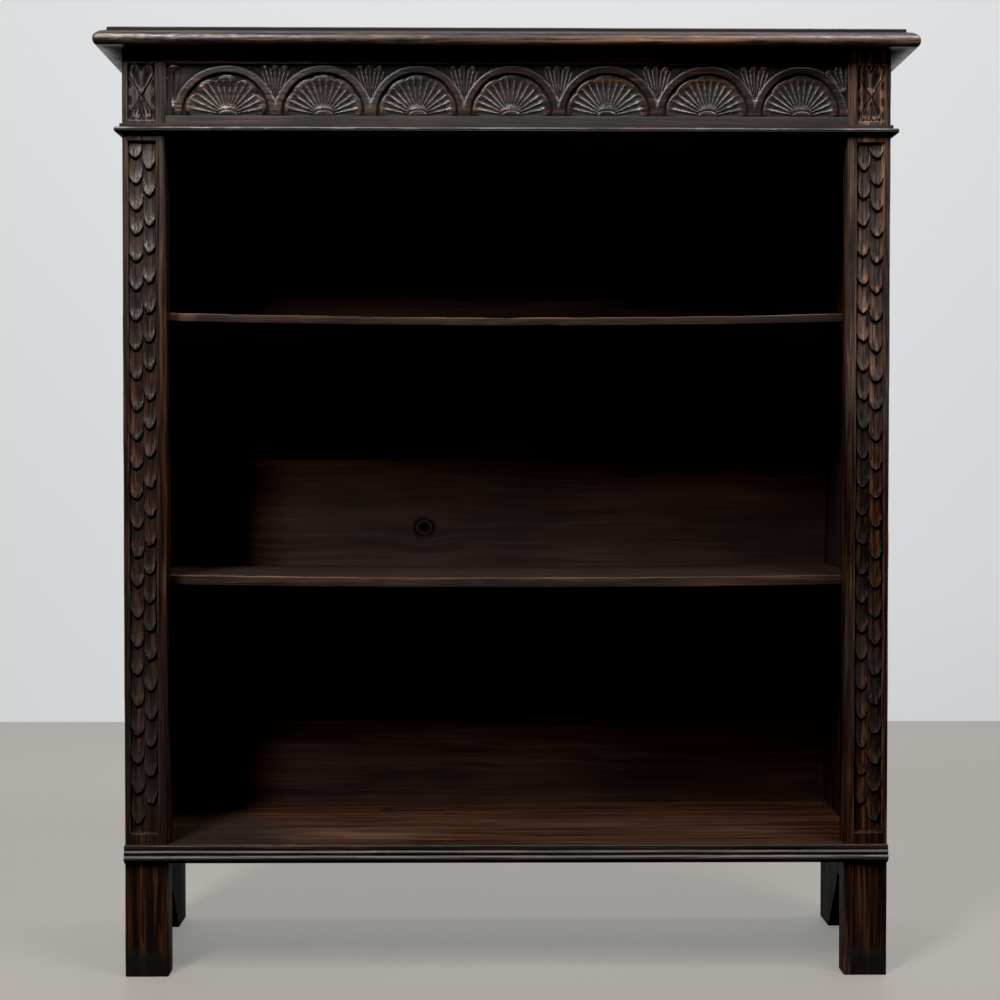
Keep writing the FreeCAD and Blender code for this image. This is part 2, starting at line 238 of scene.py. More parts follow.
# %% Lights
def soft_light(name, place, target, size, power, spread):
    """A rectangular area light that faces its target and is itself out of sight; its spread is in degrees."""
    data = bpy.data.lights.new(name, "AREA")
    data.spread = math.radians(spread)
    data.shape = "RECTANGLE"
    data.size, data.size_y = size
    data.energy = power
    light = bpy.data.objects.new(name, data)
    light.location = place
    light.rotation_euler = (Vector(target) - Vector(place)).to_track_quat("-Z", "Y").to_euler()
    light.visible_camera = False
    bpy.context.scene.collection.objects.link(light)


key = {"place": (-0.95, -2.0, 2.62), "target": (0.0, 0.0, 0.55), "size": (0.55, 1.2), "power": 42.0}
top = {"place": (0.95, -1.1, 2.65), "target": (0.1, -0.1, 0.7), "size": (0.9, 0.4), "power": 20.0}
wash = {"place": (0.6, 0.5, 3.3), "target": (0.6, wall_distance, 0.9), "size": (6.0, 0.7), "power": 52.0}
soft_light("key light", **key, spread=120)
soft_light("top light", **top, spread=120)
soft_light("wall light", **wash, spread=150)

fill_strength = 0.045
ground_brightness = 0.72
ground_tint = (0.97, 0.98, 1.0, 1.0)
black_point = 0.003  # the picture's blacks are deep, so the darkest light is left out
world = bpy.data.worlds.new("studio")
world.use_nodes = True
bpy.context.scene.world = world
seen = add_node(world.node_tree, "LightPath").outputs["Is Camera Ray"]
strength = reckon(world.node_tree, "MULTIPLY", seen, ground_brightness - fill_strength)
strength = reckon(world.node_tree, "ADD", strength, fill_strength)
background = world.node_tree.nodes["Background"]
background.inputs["Color"].default_value = ground_tint
world.node_tree.links.new(strength, background.inputs["Strength"])
view = bpy.context.scene.view_settings
view.view_transform = "Standard"
view.use_curve_mapping = True
view.curve_mapping.black_level = (black_point, black_point, black_point)
view.curve_mapping.update()

# %% [markdown]
# ## Oak grain
# Oak shows three things from close by: streaks of darker and lighter wood along the board, short open pores,
# and cloudy patches where the stain went in unevenly. Each can be a noise texture that is drawn out along
# the grain. All the wood uses them, so they are one node group. Its coordinates run along the grain first,
# and a slow sideways wander bends the streaks as a real tree would.
# The group also puts out the relief of the grain: streaks stand a little proud and pores are open.

# %% Grain group
wander_scale = (2.2, 9.0, 9.0)  # swells in a metre, along and across the grain
wander_reach = (0.0, 0.012, 0.012)  # metres
streak_scale = (5.0, 170.0, 170.0)
vein_scale = (7.0, 300.0, 300.0)
pore_scale = (14.0, 440.0, 440.0)
patch_scale = (3.5, 8.0, 8.0)
streak_limits = (0.40, 0.66)  # noise under the first is 0, and over the second is 1
vein_limits = (0.36, 0.62)
pore_limits = (0.50, 0.61)
patch_limits = (0.34, 0.66)
vein_share = 0.8
streak_relief = 0.5
middle_grey = (0.5, 0.5, 0.5)

grain_outputs = ("Streak", "Pores", "Patches", "Relief")
grain_group, given, result = new_group("oak grain", {"Vector": "Vector"}, grain_outputs)
way = given["Vector"]
sway = vector_sum(grain_group, "SUBTRACT", cloud(grain_group, way, wander_scale, output=1), middle_grey)
bent = vector_sum(grain_group, "ADD", way, vector_sum(grain_group, "MULTIPLY", sway, wander_reach))
broad = fit(grain_group, cloud(grain_group, bent, streak_scale, detail=3.0), *streak_limits)
veins = fit(grain_group, cloud(grain_group, bent, vein_scale, detail=2.0), *vein_limits)
thinned = reckon(grain_group, "ADD", reckon(grain_group, "MULTIPLY", veins, vein_share), 1 - vein_share)
streak = reckon(grain_group, "MULTIPLY", broad, thinned)
pores = fit(grain_group, cloud(grain_group, bent, pore_scale, detail=1.0), *pore_limits)
patches = fit(grain_group, cloud(grain_group, way, patch_scale, detail=3.0), *patch_limits)
relief = reckon(grain_group, "SUBTRACT", reckon(grain_group, "MULTIPLY", streak, streak_relief), pores)
for name, value in zip(grain_outputs, (streak, pores, patches, relief)):
    grain_group.links.new(value, result[name])
print("grain group outputs:", grain_outputs)

# %% [markdown]
# ## Worn arrises, old wax and painted shade
# Hands and dusters rub the stain off proud edges, and wax and dirt stay in the hollows.
# The same dark mark also carries painted shade: in recesses, under things and lower down the case.
# Where we make the mesh ourselves, we know how proud or hollow every point is, and keep that as marks on it.
# On boards that come from the frame there are no marks, so a Bevel node finds the arrises instead:
# close to an arris the softened normal leans away from the true one.
# The groups for wear and for dirt with painted shade break their marks up with noise, since an even band
# would look painted, and the first adds short scuffs where the wood is bare.

# %% Wear and dirt groups
wear_scale = (10.0, 140.0, 140.0)  # along and across the grain
wear_break = 0.8
wear_limits = (0.3, 1.0)
scuff_scale = (85.0, 330.0, 330.0)
scuff_limits = (0.46, 0.62)
dirt_scale = (12.0, 40.0, 40.0)
dirt_break = 0.5
dirt_limits = (0.12, 0.7)


def broken_mark(group, mark, vector, scale, break_up):
    """A mark with noise added, so that it comes and goes along an edge."""
    noise = reckon(group, "SUBTRACT", cloud(group, vector, scale, detail=4.0), 0.5)
    return reckon(group, "ADD", mark, reckon(group, "MULTIPLY", noise, break_up))


sockets = {"Worn": "Float", "Vector": "Vector"}
wear_group, given, result = new_group("rubbed edges", sockets, ("Wear", "Scuffs"))
mark = broken_mark(wear_group, given["Worn"], given["Vector"], wear_scale, wear_break)
rubbed = fit(wear_group, mark, *wear_limits)
scuffed = fit(wear_group, cloud(wear_group, given["Vector"], scuff_scale), *scuff_limits)
wear_group.links.new(rubbed, result["Wear"])
wear_group.links.new(reckon(wear_group, "MULTIPLY", scuffed, rubbed), result["Scuffs"])

# One mask darkens the wood for real dirt and for painted shade alike.
dirt_and_shade_group, given, result = new_group("old wax and painted shade", {"Hollow": "Float", "Vector": "Vector"}, ("Dirt and shade",))
mark = broken_mark(dirt_and_shade_group, given["Hollow"], given["Vector"], dirt_scale, dirt_break)
dirt_and_shade_group.links.new(fit(dirt_and_shade_group, mark, *dirt_limits), result["Dirt and shade"])

arris_reach = 0.005  # metres
arris_limits = (0.01, 0.2)
arris_group, given, result = new_group("arrises", {"Reach": "Float"}, ("Worn",))
softened = add_node(arris_group, "Bevel", {"Radius": given["Reach"]}, samples=6).outputs[0]
true_normal = add_node(arris_group, "NewGeometry").outputs["Normal"]
dot = add_node(arris_group, "VectorMath", {0: softened, 1: true_normal}, operation="DOT_PRODUCT")
lean = reckon(arris_group, "SUBTRACT", 1.0, dot.outputs["Value"])
arris_group.links.new(fit(arris_group, lean, *arris_limits), result["Worn"])
print("groups:", [group.name for group in bpy.data.node_groups])

# %% [markdown]
# ## Dark stained oak
# The case is oak, stained almost black and waxed for a century. Close by it is not black at all:
# red-brown streaks show between the pores, edges have gone to a dull brown, and the wax gives a grey sheen.
# The colour is built in that order: streaks, patches, a painted grey highlight on the crests of the carving,
# which also stands for their polish, dirt with painted shade, wear, scuffs in the worn places, and pores,
# which stay dark even where the stain has gone.
# The relief of the pores is a small bump, since it is finer than any mesh we would want,
# while every larger form is geometry.

# %% Dark oak
pore_relief = 0.0005  # metres
oak_streaks = ((0.0060, 0.0034, 0.0030, 1), (0.098, 0.034, 0.0145, 1))
oak_bared = ((0.020, 0.0100, 0.0065, 1), (0.30, 0.150, 0.085, 1))
oak_patches = (0.45, (0.0105, 0.0066, 0.0060, 1))  # how much of a layer, and its colour
# the darkest colour, laid for dirt and for painted shade
oak_dirt_and_shade = (0.92, (0.0022, 0.0017, 0.0015, 1))
oak_scuffs = (0.5, (0.030, 0.016, 0.010, 1))
oak_pores = (0.75, (0.0045, 0.0032, 0.0028, 1))
# how much of the painted crest highlight is laid
crest_highlight_share = 0.75
oak_wear = 0.85
plank_dirt = (0.2, 0.3)  # everywhere, and more in the patches
oak_roughness = {"wax": 0.26, "patches": 0.16, "dirt_and_shade": 0.55, "scuffs": 0.3}


def along_grain(tree, axis):
    """Object coordinates, turned so that the first one runs along the grain."""
    parts = axes(tree, object_spot(tree))
    order = {"X": "XYZ", "Y": "YZX", "Z": "ZXY"}[axis]
    turned = {number: parts[letter] for number, letter in enumerate(order)}
    return add_node(tree, "CombineXYZ", turned).outputs[0]


def shape_mark(tree, name):
    """A mark that the mesh itself carries."""
    return add_node(tree, "Attribute", attribute_name=name).outputs["Fac"]


def finish_wood(tree, shader, colour, grain, roughness, gloss, open_grain):
    """Joins a wood's colour, roughness and the relief of its grain to the shader, and sets its gloss."""
    shader.inputs["Specular IOR Level"].default_value = gloss
    relief = {"Height": grain["Relief"], "Strength": open_grain, "Distance": pore_relief}
    tree.links.new(colour, shader.inputs["Base Color"])
    tree.links.new(roughness, shader.inputs["Roughness"])
    tree.links.new(add_node(tree, "Bump", relief).outputs[0], shader.inputs["Normal"])


def dark_oak(name, axis, crest_highlight, gloss, open_grain):
    """The case's oak: its grain's axis, the colour of the painted highlight on carved crests, or None where
    the mesh carries no marks, the gloss of the wax, and how strong the relief of its pores is."""
    material, tree, shader = new_material(name)
    way = along_grain(tree, axis)
    grain = use_group(tree, grain_group, {"Vector": way})
    if crest_highlight:
        # the hollow mark holds dirt and painted shade
        worn, hollow = shape_mark(tree, "worn"), shape_mark(tree, "hollow")
    else:
        worn = use_group(tree, arris_group, {"Reach": arris_reach})["Worn"]
        hollow = add_shares(tree, plank_dirt[0], (grain["Patches"], plank_dirt[1]))
    rubbed = use_group(tree, wear_group, {"Worn": worn, "Vector": way})
    dirt_and_shade = use_group(tree, dirt_and_shade_group, {"Hollow": hollow, "Vector": way})["Dirt and shade"]
    colour = mix_colours(tree, grain["Streak"], *oak_streaks)
    colour = lay_over(tree, colour, grain["Patches"], *oak_patches)
    if crest_highlight:
        # painted highlight: the crest colour goes where the mesh marks the carving as proud
        colour = lay_over(tree, colour, shape_mark(tree, "proud"), crest_highlight_share, crest_highlight)
    # dirt and painted shade darken the wood in the same way
    colour = lay_over(tree, colour, dirt_and_shade, *oak_dirt_and_shade)
    bared = mix_colours(tree, grain["Streak"], *oak_bared)
    colour = lay_over(tree, colour, rubbed["Wear"], oak_wear, bared)
    colour = lay_over(tree, colour, rubbed["Scuffs"], *oak_scuffs)
    colour = lay_over(tree, colour, grain["Pores"], *oak_pores)
    masks = {"patches": grain["Patches"], "dirt_and_shade": dirt_and_shade, "scuffs": rubbed["Scuffs"]}
    terms = [(mask, oak_roughness[layer]) for layer, mask in masks.items()]
    rough = add_shares(tree, oak_roughness["wax"], *terms)
    finish_wood(tree, shader, colour, grain, rough, gloss, open_grain)
    return material


# colours of the painted highlight on carved crests, which also stand for wax polish
warm_crest_highlight = (0.22, 0.195, 0.185, 1)
grey_crest_highlight = (0.40, 0.385, 0.375, 1)
upright_oak = dark_oak("carved oak upright", "Z", warm_crest_highlight, gloss=0.22, open_grain=0.40)
level_oak = dark_oak("carved oak level", "X", grey_crest_highlight, gloss=0.42, open_grain=0.18)
return_oak = dark_oak("moulded oak return", "Y", warm_crest_highlight, gloss=0.36, open_grain=0.25)
plank_oak = dark_oak("side plank oak", "Z", None, gloss=0.30, open_grain=0.40)
print("oak finishes:", [m.name for m in bpy.data.materials if "oak" in m.name])

# %% [markdown]
# ## Shelf oak
# The shelves have lost more of their stain than the case, because books slide over them.
# Their boards are redder and streakier, with a duller surface and pale front edges.
# They could share the function of the case's oak, but their layers come in another order:
# here the dirt, with painted shade, lies over the pores, and the bare wood over both.

# %% Shelf oak
shelf_streaks = ((0.020, 0.0085, 0.0055, 1), (0.125, 0.050, 0.026, 1))
shelf_bared = ((0.055, 0.032, 0.022, 1), (0.20, 0.105, 0.058, 1))
shelf_patches = (0.6, (0.035, 0.016, 0.011, 1))  # how much of a layer, and its colour
shelf_pores = (0.5, (0.012, 0.006, 0.0045, 1))
# dirt, and the painted shadow on the left end of the bottom shelf
shelf_dirt_and_shade = (0.93, (0.0055, 0.0033, 0.0028, 1))
shelf_wear = 0.8
shelf_roughness = {"wax": 0.42, "patches": 0.15, "dirt_and_shade": 0.4}


def shelf_oak():
    """The finish of the three shelves, whose grain runs from side to side."""
    material, tree, shader = new_material("shelf oak")
    way = along_grain(tree, "X")
    grain = use_group(tree, grain_group, {"Vector": way})
    wear = use_group(tree, wear_group, {"Worn": shape_mark(tree, "worn"), "Vector": way})["Wear"]
    dirt_and_shade = use_group(tree, dirt_and_shade_group, {"Hollow": shape_mark(tree, "hollow"), "Vector": way})["Dirt and shade"]
    colour = mix_colours(tree, grain["Streak"], *shelf_streaks)
    colour = lay_over(tree, colour, grain["Patches"], *shelf_patches)
    colour = lay_over(tree, colour, grain["Pores"], *shelf_pores)
    colour = lay_over(tree, colour, dirt_and_shade, *shelf_dirt_and_shade)
    colour = lay_over(tree, colour, wear, shelf_wear, mix_colours(tree, grain["Streak"], *shelf_bared))
    terms = ((grain["Patches"], shelf_roughness["patches"]), (dirt_and_shade, shelf_roughness["dirt_and_shade"]))
    rough = add_shares(tree, shelf_roughness["wax"], *terms)
    finish_wood(tree, shader, colour, grain, rough, gloss=0.22, open_grain=0.4)
    return material


shelf_wood = shelf_oak()
print("made", shelf_wood.name)

# %% [markdown]
# ## Knots
# A knot is a round dark heart with a paler ring in it, and it pushes the grain aside.
# It could be a painted picture, but the grain would not bend round a picture. So a group gives a mask for
# the heart, one for the ring, and how far the coordinates are pushed before the grain is drawn.

# %% Knot group
knot_flat = (0.9, 0.0, 1.0)  # a knot is a little wider than high, and goes through the board
heart_ragged = (90.0, 90.0, 90.0)
ragged_share = 0.5
heart_limits = (1.4, 1.1)  # in sizes of the knot
ring_place = 0.62
ring_limits = (0.14, 0.03)
push_fade = -0.55

knot_sockets = {"Vector": "Vector", "Centre": "Vector", "Size": "Float"}
knot_group, given, result = new_group("pine knot", knot_sockets, ("Heart", "Ring", "Push"))
away = vector_sum(knot_group, "SUBTRACT", given["Vector"], given["Centre"])
away = vector_sum(knot_group, "MULTIPLY", away, knot_flat)
distance = add_node(knot_group, "VectorMath", {0: away}, operation="LENGTH").outputs["Value"]
in_sizes = reckon(knot_group, "DIVIDE", distance, given["Size"])
ragged = cloud(knot_group, given["Vector"], heart_ragged)
ragged = add_shares(knot_group, in_sizes, (ragged, ragged_share))
off_ring = reckon(knot_group, "ABSOLUTE", reckon(knot_group, "SUBTRACT", in_sizes, ring_place))
fade = reckon(knot_group, "POWER", math.e, reckon(knot_group, "MULTIPLY", in_sizes, push_fade))
push = reckon(knot_group, "MULTIPLY", axes(knot_group, away)["Z"], fade)
knot_group.links.new(fit(knot_group, ragged, *heart_limits), result["Heart"])
knot_group.links.new(fit(knot_group, off_ring, *ring_limits), result["Ring"])
knot_group.links.new(push, result["Push"])
print("made the group", knot_group.name)

# %% [markdown]
# ## Pine, stained in front and raw behind
# The back and the battens are cheaper wood: pine, stained where it shows and left raw behind.
# The raw side is found by the way the face looks, so one material serves both faces of a board.

# %% Pine
rear_limits = (0.4, 0.6)
raw_pine = ((0.11, 0.064, 0.037, 1), (0.25, 0.155, 0.092, 1))
# dirt, and on the back the painted shade towards the right
pine_dirt_and_shade = (0.6, (0.008, 0.0055, 0.0045, 1))  # how much of a layer, and its colour
patch_dirt = 0.5
pine_roughness = (0.5, 0.25)  # stained, and what raw wood adds


def two_faced(tree, grain, stain):
    """Pine that is stained in front and raw behind: its colour, and the mask of the raw side."""
    facing = axes(tree, add_node(tree, "TexCoord").outputs["Normal"])["Y"]
    rear = fit(tree, facing, *rear_limits)
    stained = mix_colours(tree, grain["Streak"], *stain)
    return mix_colours(tree, rear, stained, mix_colours(tree, grain["Streak"], *raw_pine)), rear


def settled_dirt_and_shade(tree, colour, hollow, way):
    """A colour with dirt and painted shade over it, as much as a mask of hollows says."""
    dirt_and_shade = use_group(tree, dirt_and_shade_group, {"Hollow": hollow, "Vector": way})["Dirt and shade"]
    return lay_over(tree, colour, dirt_and_shade, *pine_dirt_and_shade)


def finish_pine(tree, shader, colour, grain, rear):
    """Dull wood, duller on the raw side."""
    rough = add_shares(tree, pine_roughness[0], (rear, pine_roughness[1]))
    finish_wood(tree, shader, colour, grain, rough, gloss=0.12, open_grain=0.15)


print("raw pine from", raw_pine[0][:3], "to", raw_pine[1][:3])

# %% [markdown]
# ## The back boards
# Each of the six boards could have a material of its own. But the height of a point already tells which
# board it is on, and with it how far the grain is shifted, how dark the board is, and how far off the next
# joint lies, where dirt has settled. So they share one.
# Redder places follow the grain, and one board carries a painted highlight along a part of its top edge.

# %% Back boards
board_count = 6
back_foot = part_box("back_board_1")[0].z
board_height = (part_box(f"back_board_{board_count}")[1].z - back_foot) / board_count
board_shift = 1.7  # metres along the grain from one board to the next
wobble_scale = (9.0, 1.0, 22.0)
wobble_reach = 0.010
knots = (  # centre in metres, and size
    ((-0.100, 0.0, 0.492), 0.0125),
    ((0.235, 0.0, 0.655), 0.008),
    ((-0.270, 0.0, 0.812), 0.012),
    ((0.215, 0.0, 0.345), 0.009),
)
# painted highlight along part of one board's top edge
board_edge_highlight = {"z": 0.572, "edges": (0.006, 0.003), "x": (-0.13, -0.20)}  # bare from here to the left
blotch_scale = (4.0, 1.0, 24.0)  # redder places, in a metre
blotch_limits = (0.40, 0.70)
blotch_shares = (0.45, -0.3)  # in front, and what is taken off behind
joint_limits = (0.0024, 0.0010)  # metres from the joint
# painted shade: the back darkens towards its right end
shaded_end = {"x": (0.08, 0.42), "share": 0.5}  # the back is dirtier to the right
stained_pine = ((0.0215, 0.0130, 0.0115, 1), (0.0480, 0.0290, 0.0245, 1))
board_tone = (0.3, (0.020, 0.013, 0.011, 1))  # how much of a layer, and its colour
joint_dirt = (0.85, (0.0040, 0.0028, 0.0024, 1))
ring_layer = (0.7, (0.040, 0.026, 0.023, 1))
# colour of the painted highlight along a board's edge
board_edge_highlight_layer = (0.7, (0.085, 0.036, 0.013, 1))
blotch_red = (0.070, 0.034, 0.024, 1)
heart_black = (0.0045, 0.0028, 0.0025, 1)


def board_grain(tree, spot, parts, number):
    """Coordinates along a board's grain, pushed aside by the knots, and the knots' hearts and rings."""
    shift = reckon(tree, "MULTIPLY", reckon(tree, "FLOOR", number), board_shift)
    wobble = reckon(tree, "SUBTRACT", cloud(tree, spot, wobble_scale), 0.5)
    height = add_shares(tree, parts["Z"], (wobble, wobble_reach))
    hearts, rings = 0.0, 0.0
    for centre, size in knots:
        knot = use_group(tree, knot_group, {"Vector": spot, "Centre": centre, "Size": size})
        hearts = reckon(tree, "MAXIMUM", hearts, knot["Heart"])
        rings = reckon(tree, "MAXIMUM", rings, knot["Ring"])
        height = reckon(tree, "SUBTRACT", height, knot["Push"])
    inputs = {0: reckon(tree, "ADD", parts["X"], shift), 1: parts["Y"], 2: height}
    return add_node(tree, "CombineXYZ", inputs).outputs[0], hearts, rings


def back_board_pine():
    """The back's pine, with knots, redder places, dirty joints, painted shade to the right and one painted
    highlight along a board's edge.
    """
    material, tree, shader = new_material("back pine")
    spot = object_spot(tree)
    parts = axes(tree, spot)
    number = reckon(tree, "DIVIDE", reckon(tree, "SUBTRACT", parts["Z"], back_foot), board_height)
    way, hearts, rings = board_grain(tree, spot, parts, number)
    grain = use_group(tree, grain_group, {"Vector": way})
    colour, rear = two_faced(tree, grain, stained_pine)
    tone = add_node(tree, "TexWhiteNoise", {"W": reckon(tree, "FLOOR", number)}, noise_dimensions="1D")
    colour = lay_over(tree, colour, tone.outputs[0], *board_tone)
    blotch = fit(tree, cloud(tree, way, blotch_scale, detail=4.0), *blotch_limits)
    amount = add_shares(tree, blotch_shares[0], (rear, blotch_shares[1]))
    colour = lay_over(tree, colour, blotch, amount, blotch_red)
    hollow = reckon(tree, "MULTIPLY", grain["Patches"], patch_dirt)
    # painted shade towards the right end of the back
    hollow = add_shares(tree, hollow, (fit(tree, parts["X"], *shaded_end["x"]), shaded_end["share"]))
    colour = settled_dirt_and_shade(tree, colour, hollow, way)
    off_joint = reckon(tree, "MULTIPLY", reckon(tree, "PINGPONG", number, 0.5), board_height)
    colour = lay_over(tree, colour, fit(tree, off_joint, *joint_limits), *joint_dirt)
    colour = mix_colours(tree, hearts, colour, heart_black)
    colour = lay_over(tree, colour, rings, *ring_layer)
    # painted highlight along one board's edge
    off_strip = reckon(tree, "ABSOLUTE", reckon(tree, "SUBTRACT", parts["Z"], board_edge_highlight["z"]))
    along_strip = fit(tree, parts["X"], *board_edge_highlight["x"])
    strip = reckon(tree, "MULTIPLY", fit(tree, off_strip, *board_edge_highlight["edges"]), along_strip)
    colour = lay_over(tree, colour, strip, *board_edge_highlight_layer)
    finish_pine(tree, shader, colour, grain, rear)
    return material


back_pine = back_board_pine()
print("knots in the back:", len(knots))

# %% [markdown]
# ## The battens
# Bearers, cleats and glue blocks are offcuts of plain pine, stained darker than the back.
# Their arrises are rubbed a little, and the Bevel node finds them.

# %% Battens
batten_stain = ((0.010, 0.0055, 0.0045, 1), (0.032, 0.0165, 0.011, 1))
batten_wear = (0.3, (0.14, 0.085, 0.055, 1))  # how much of a layer, and its colour


def plain_batten_pine():
    """The pine of bearers, cleats and glue blocks, rubbed along its arrises."""
    material, tree, shader = new_material("batten pine")
    way = along_grain(tree, "Y")
    grain = use_group(tree, grain_group, {"Vector": way})
    colour, rear = two_faced(tree, grain, batten_stain)
    hollow = reckon(tree, "MULTIPLY", grain["Patches"], patch_dirt)
    colour = settled_dirt_and_shade(tree, colour, hollow, way)
    worn = use_group(tree, arris_group, {"Reach": arris_reach})["Worn"]
    wear = use_group(tree, wear_group, {"Worn": worn, "Vector": way})["Wear"]
    colour = lay_over(tree, colour, wear, *batten_wear)
    finish_pine(tree, shader, colour, grain, rear)
    return material


batten_pine = plain_batten_pine()
print("made", batten_pine.name)

# %% [markdown]
# ## Old steel
# Screws and cut nails have gone brown with rust. Rust is rough and not metallic, and bare steel is the
# reverse, so one noise mask drives the colour, the roughness and the metal share together.

# %% Steel
rust_scale = (700.0, 700.0, 700.0)
rust_limits = (0.38, 0.6)
steel_colours = ((0.13, 0.125, 0.12, 1), (0.042, 0.019, 0.010, 1))
steel_roughness = (0.4, 0.4)  # bare, and what rust adds
rust_relief = {"Strength": 0.4, "Distance": 0.0002}

steel, tree, shader = new_material("old steel")
rust = fit(tree, cloud(tree, object_spot(tree), rust_scale, detail=4.0), *rust_limits)
rough = add_shares(tree, steel_roughness[0], (rust, steel_roughness[1]))
bump = add_node(tree, "Bump", {"Height": rust, **rust_relief})
tree.links.new(mix_colours(tree, rust, *steel_colours), shader.inputs["Base Color"])
tree.links.new(reckon(tree, "SUBTRACT", 1.0, rust), shader.inputs["Metallic"])
tree.links.new(rough, shader.inputs["Roughness"])
tree.links.new(bump.outputs[0], shader.inputs["Normal"])
print("made", steel.name)

# %% [markdown]
# ## Meshes from rings
# Every worn board here is a skin over a stack of rings: one closed outline after another along the board.
# It could also be a cube with modifiers, but with rings each point can be pushed by a formula,
# and the same point keeps its marks for wear and dirt. The ends are closed with one flat face each.

# %% Mesh helpers
sharp_angle = 50  # degrees; edges that turn more stay sharp
lattice_count = 64


def ease(low, high, value):
    """Runs smoothly from 0 at low to 1 at high."""
    share = np.clip((value - low) / (high - low), 0, 1)
    return share * share * (3 - 2 * share)


def hump(middle, width, value):
    """1 at the middle, falling off softly to both sides."""
    return np.exp(-(((value - middle) / width) ** 2))


def most(*fields):
    """The largest of several fields at every point."""
    largest = fields[0]
    for field in fields[1:]:
        largest = np.maximum(largest, field)
    return largest


def uneven(across, along, cell, seed):
    """Hand-made unevenness between -1 and 1, about one swell in each cell."""
    count = lattice_count
    lattice = np.random.default_rng(seed).uniform(-1, 1, (count, count))
    across, along = np.broadcast_arrays(np.asarray(across, float) / cell, np.asarray(along, float) / cell)
    i, j = np.floor(across).astype(int), np.floor(along).astype(int)
    s, t = ease(0, 1, across - i), ease(0, 1, along - j)
    near = lattice[i % count, j % count] * (1 - s) + lattice[(i + 1) % count, j % count] * s
    far = lattice[i % count, (j + 1) % count] * (1 - s) + lattice[(i + 1) % count, (j + 1) % count] * s
    return near * (1 - t) + far * t


def soften(field, reach):
    """A field of values averaged over a few neighbours each way."""
    size = 2 * reach + 1
    for axis in (0, 1):
        pad = [(reach + 1, reach) if axis == side else (0, 0) for side in (0, 1)]
        sums = np.cumsum(np.pad(field, pad, mode="edge"), axis=axis)
        count = sums.shape[axis]
        field = (np.take(sums, range(size, count), axis) - np.take(sums, range(count - size), axis)) / size
    return field


def skin(name, rings, marks):
    """A closed mesh over a stack of rings, with its marks kept on its points."""
    rows, count = rings.shape[:2]
    index = np.arange(rows * count).reshape(rows, count)
    onward = np.roll(index, -1, axis=1)
    quads = np.stack([index[:-1], onward[:-1], onward[1:], index[1:]], axis=-1).reshape(-1, 4)
    ends = [index[0].tolist(), index[-1].tolist()]
    mesh = bpy.data.meshes.new(name)
    mesh.from_pydata(rings.reshape(-1, 3).tolist(), [], quads.tolist() + ends)
    for mark, values in marks.items():
        layer = mesh.attributes.new(mark, "FLOAT", "POINT")
        layer.data.foreach_set("value", np.ascontiguousarray(values, np.float32).ravel())
    shape = bmesh.new()
    shape.from_mesh(mesh)
    bmesh.ops.recalc_face_normals(shape, faces=shape.faces)
    shape.to_mesh(mesh)
    shape.free()
    mesh.polygons.foreach_set("use_smooth", [True] * len(mesh.polygons))
    mesh.set_sharp_from_angle(angle=math.radians(sharp_angle))
    return mesh


def stand_for(node, rings, marks, material, body):
    """Puts the skin over a stack of rings in place of one board of the frame."""
    mesh = skin(node, rings, marks)
    mesh.materials.append(material)
    piece = bpy.data.objects.new(node + "_finished", mesh)
    bpy.context.scene.collection.objects.link(piece)
    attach(piece, body)
    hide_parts(node)
    print(piece.name, "has", len(mesh.polygons), "faces")


print("mesh helpers are ready")

# %% [markdown]
# ## Scales on the stiles
# Each stile has two columns of overlapping scales in a sunk panel, like tongues of bark.
# A sculptor would push them one by one. Here the depth of the carving is a formula over the stile's face:
# a scale is proud at its rounded tip and sinks upwards until it passes under the tip above.
# Lifting the height by the curve of the tip turns a row of straight steps into rounded tongues.
# The tips are a little uneven, as they are when they are marked out by eye.

# %% Scale carving
panel_sides = (6.8, 36.6)  # millimetres from the outer edge of the stile
panel_ends = (161.0, 927.5)  # heights over the floor
ground_depth = 5.2
tip_depth = 0.4
sunk_depth = 4.6
tip_rise = (4.5, 5.5)  # how far a tip's outline rises to its sides, as part of a circle and as part of a V
tip_nose = (1.3, 1.5)  # how far the end of a tip is rounded back, and over what length
tip_swell = 0.33  # share of a scale's length over which it rises to its tip
tip_error = 1.3  # of the heights that were marked out by eye
lean_error = 0.7
column_sway = {"reach": 0.5, "cell": 70}
side_round = 1.5
facet = {"deep": 0.10, "turn": 9}  # low ridges along a scale, left by the gouge
# painted shadow under each tip, between these shares of a scale's length
under_tip_shadow_span = (0.80, 0.97)  # shares of a scale's length
tip_allowance = 2  # a point this little over a tip still takes the lean of the scale below
end_room = 6  # a column may start and end this much outside its last tips
columns = (  # the topmost scales have a pitch of their own, and a count
    {"middle": 14.6, "half": 7.5, "first": 909.5, "last": 168.0, "pitch": 32.8, "top": (28.5, 4)},
    {"middle": 29.0, "half": 7.0, "first": 898.0, "last": 172.0, "pitch": 32.2, "top": (31.0, 2)},
)


def tip_heights(column, draw):
    """Heights of the tips in one column, from the lowest up."""
    heights = [column["first"]]
    top_pitch, top_count = column["top"]
    while heights[-1] - column["pitch"] > column["last"] - end_room:
        heights.append(heights[-1] - (top_pitch if len(heights) <= top_count else column["pitch"]))
    heights = np.array(heights[::-1])
    return heights + draw.uniform(-tip_error, tip_error, len(heights))


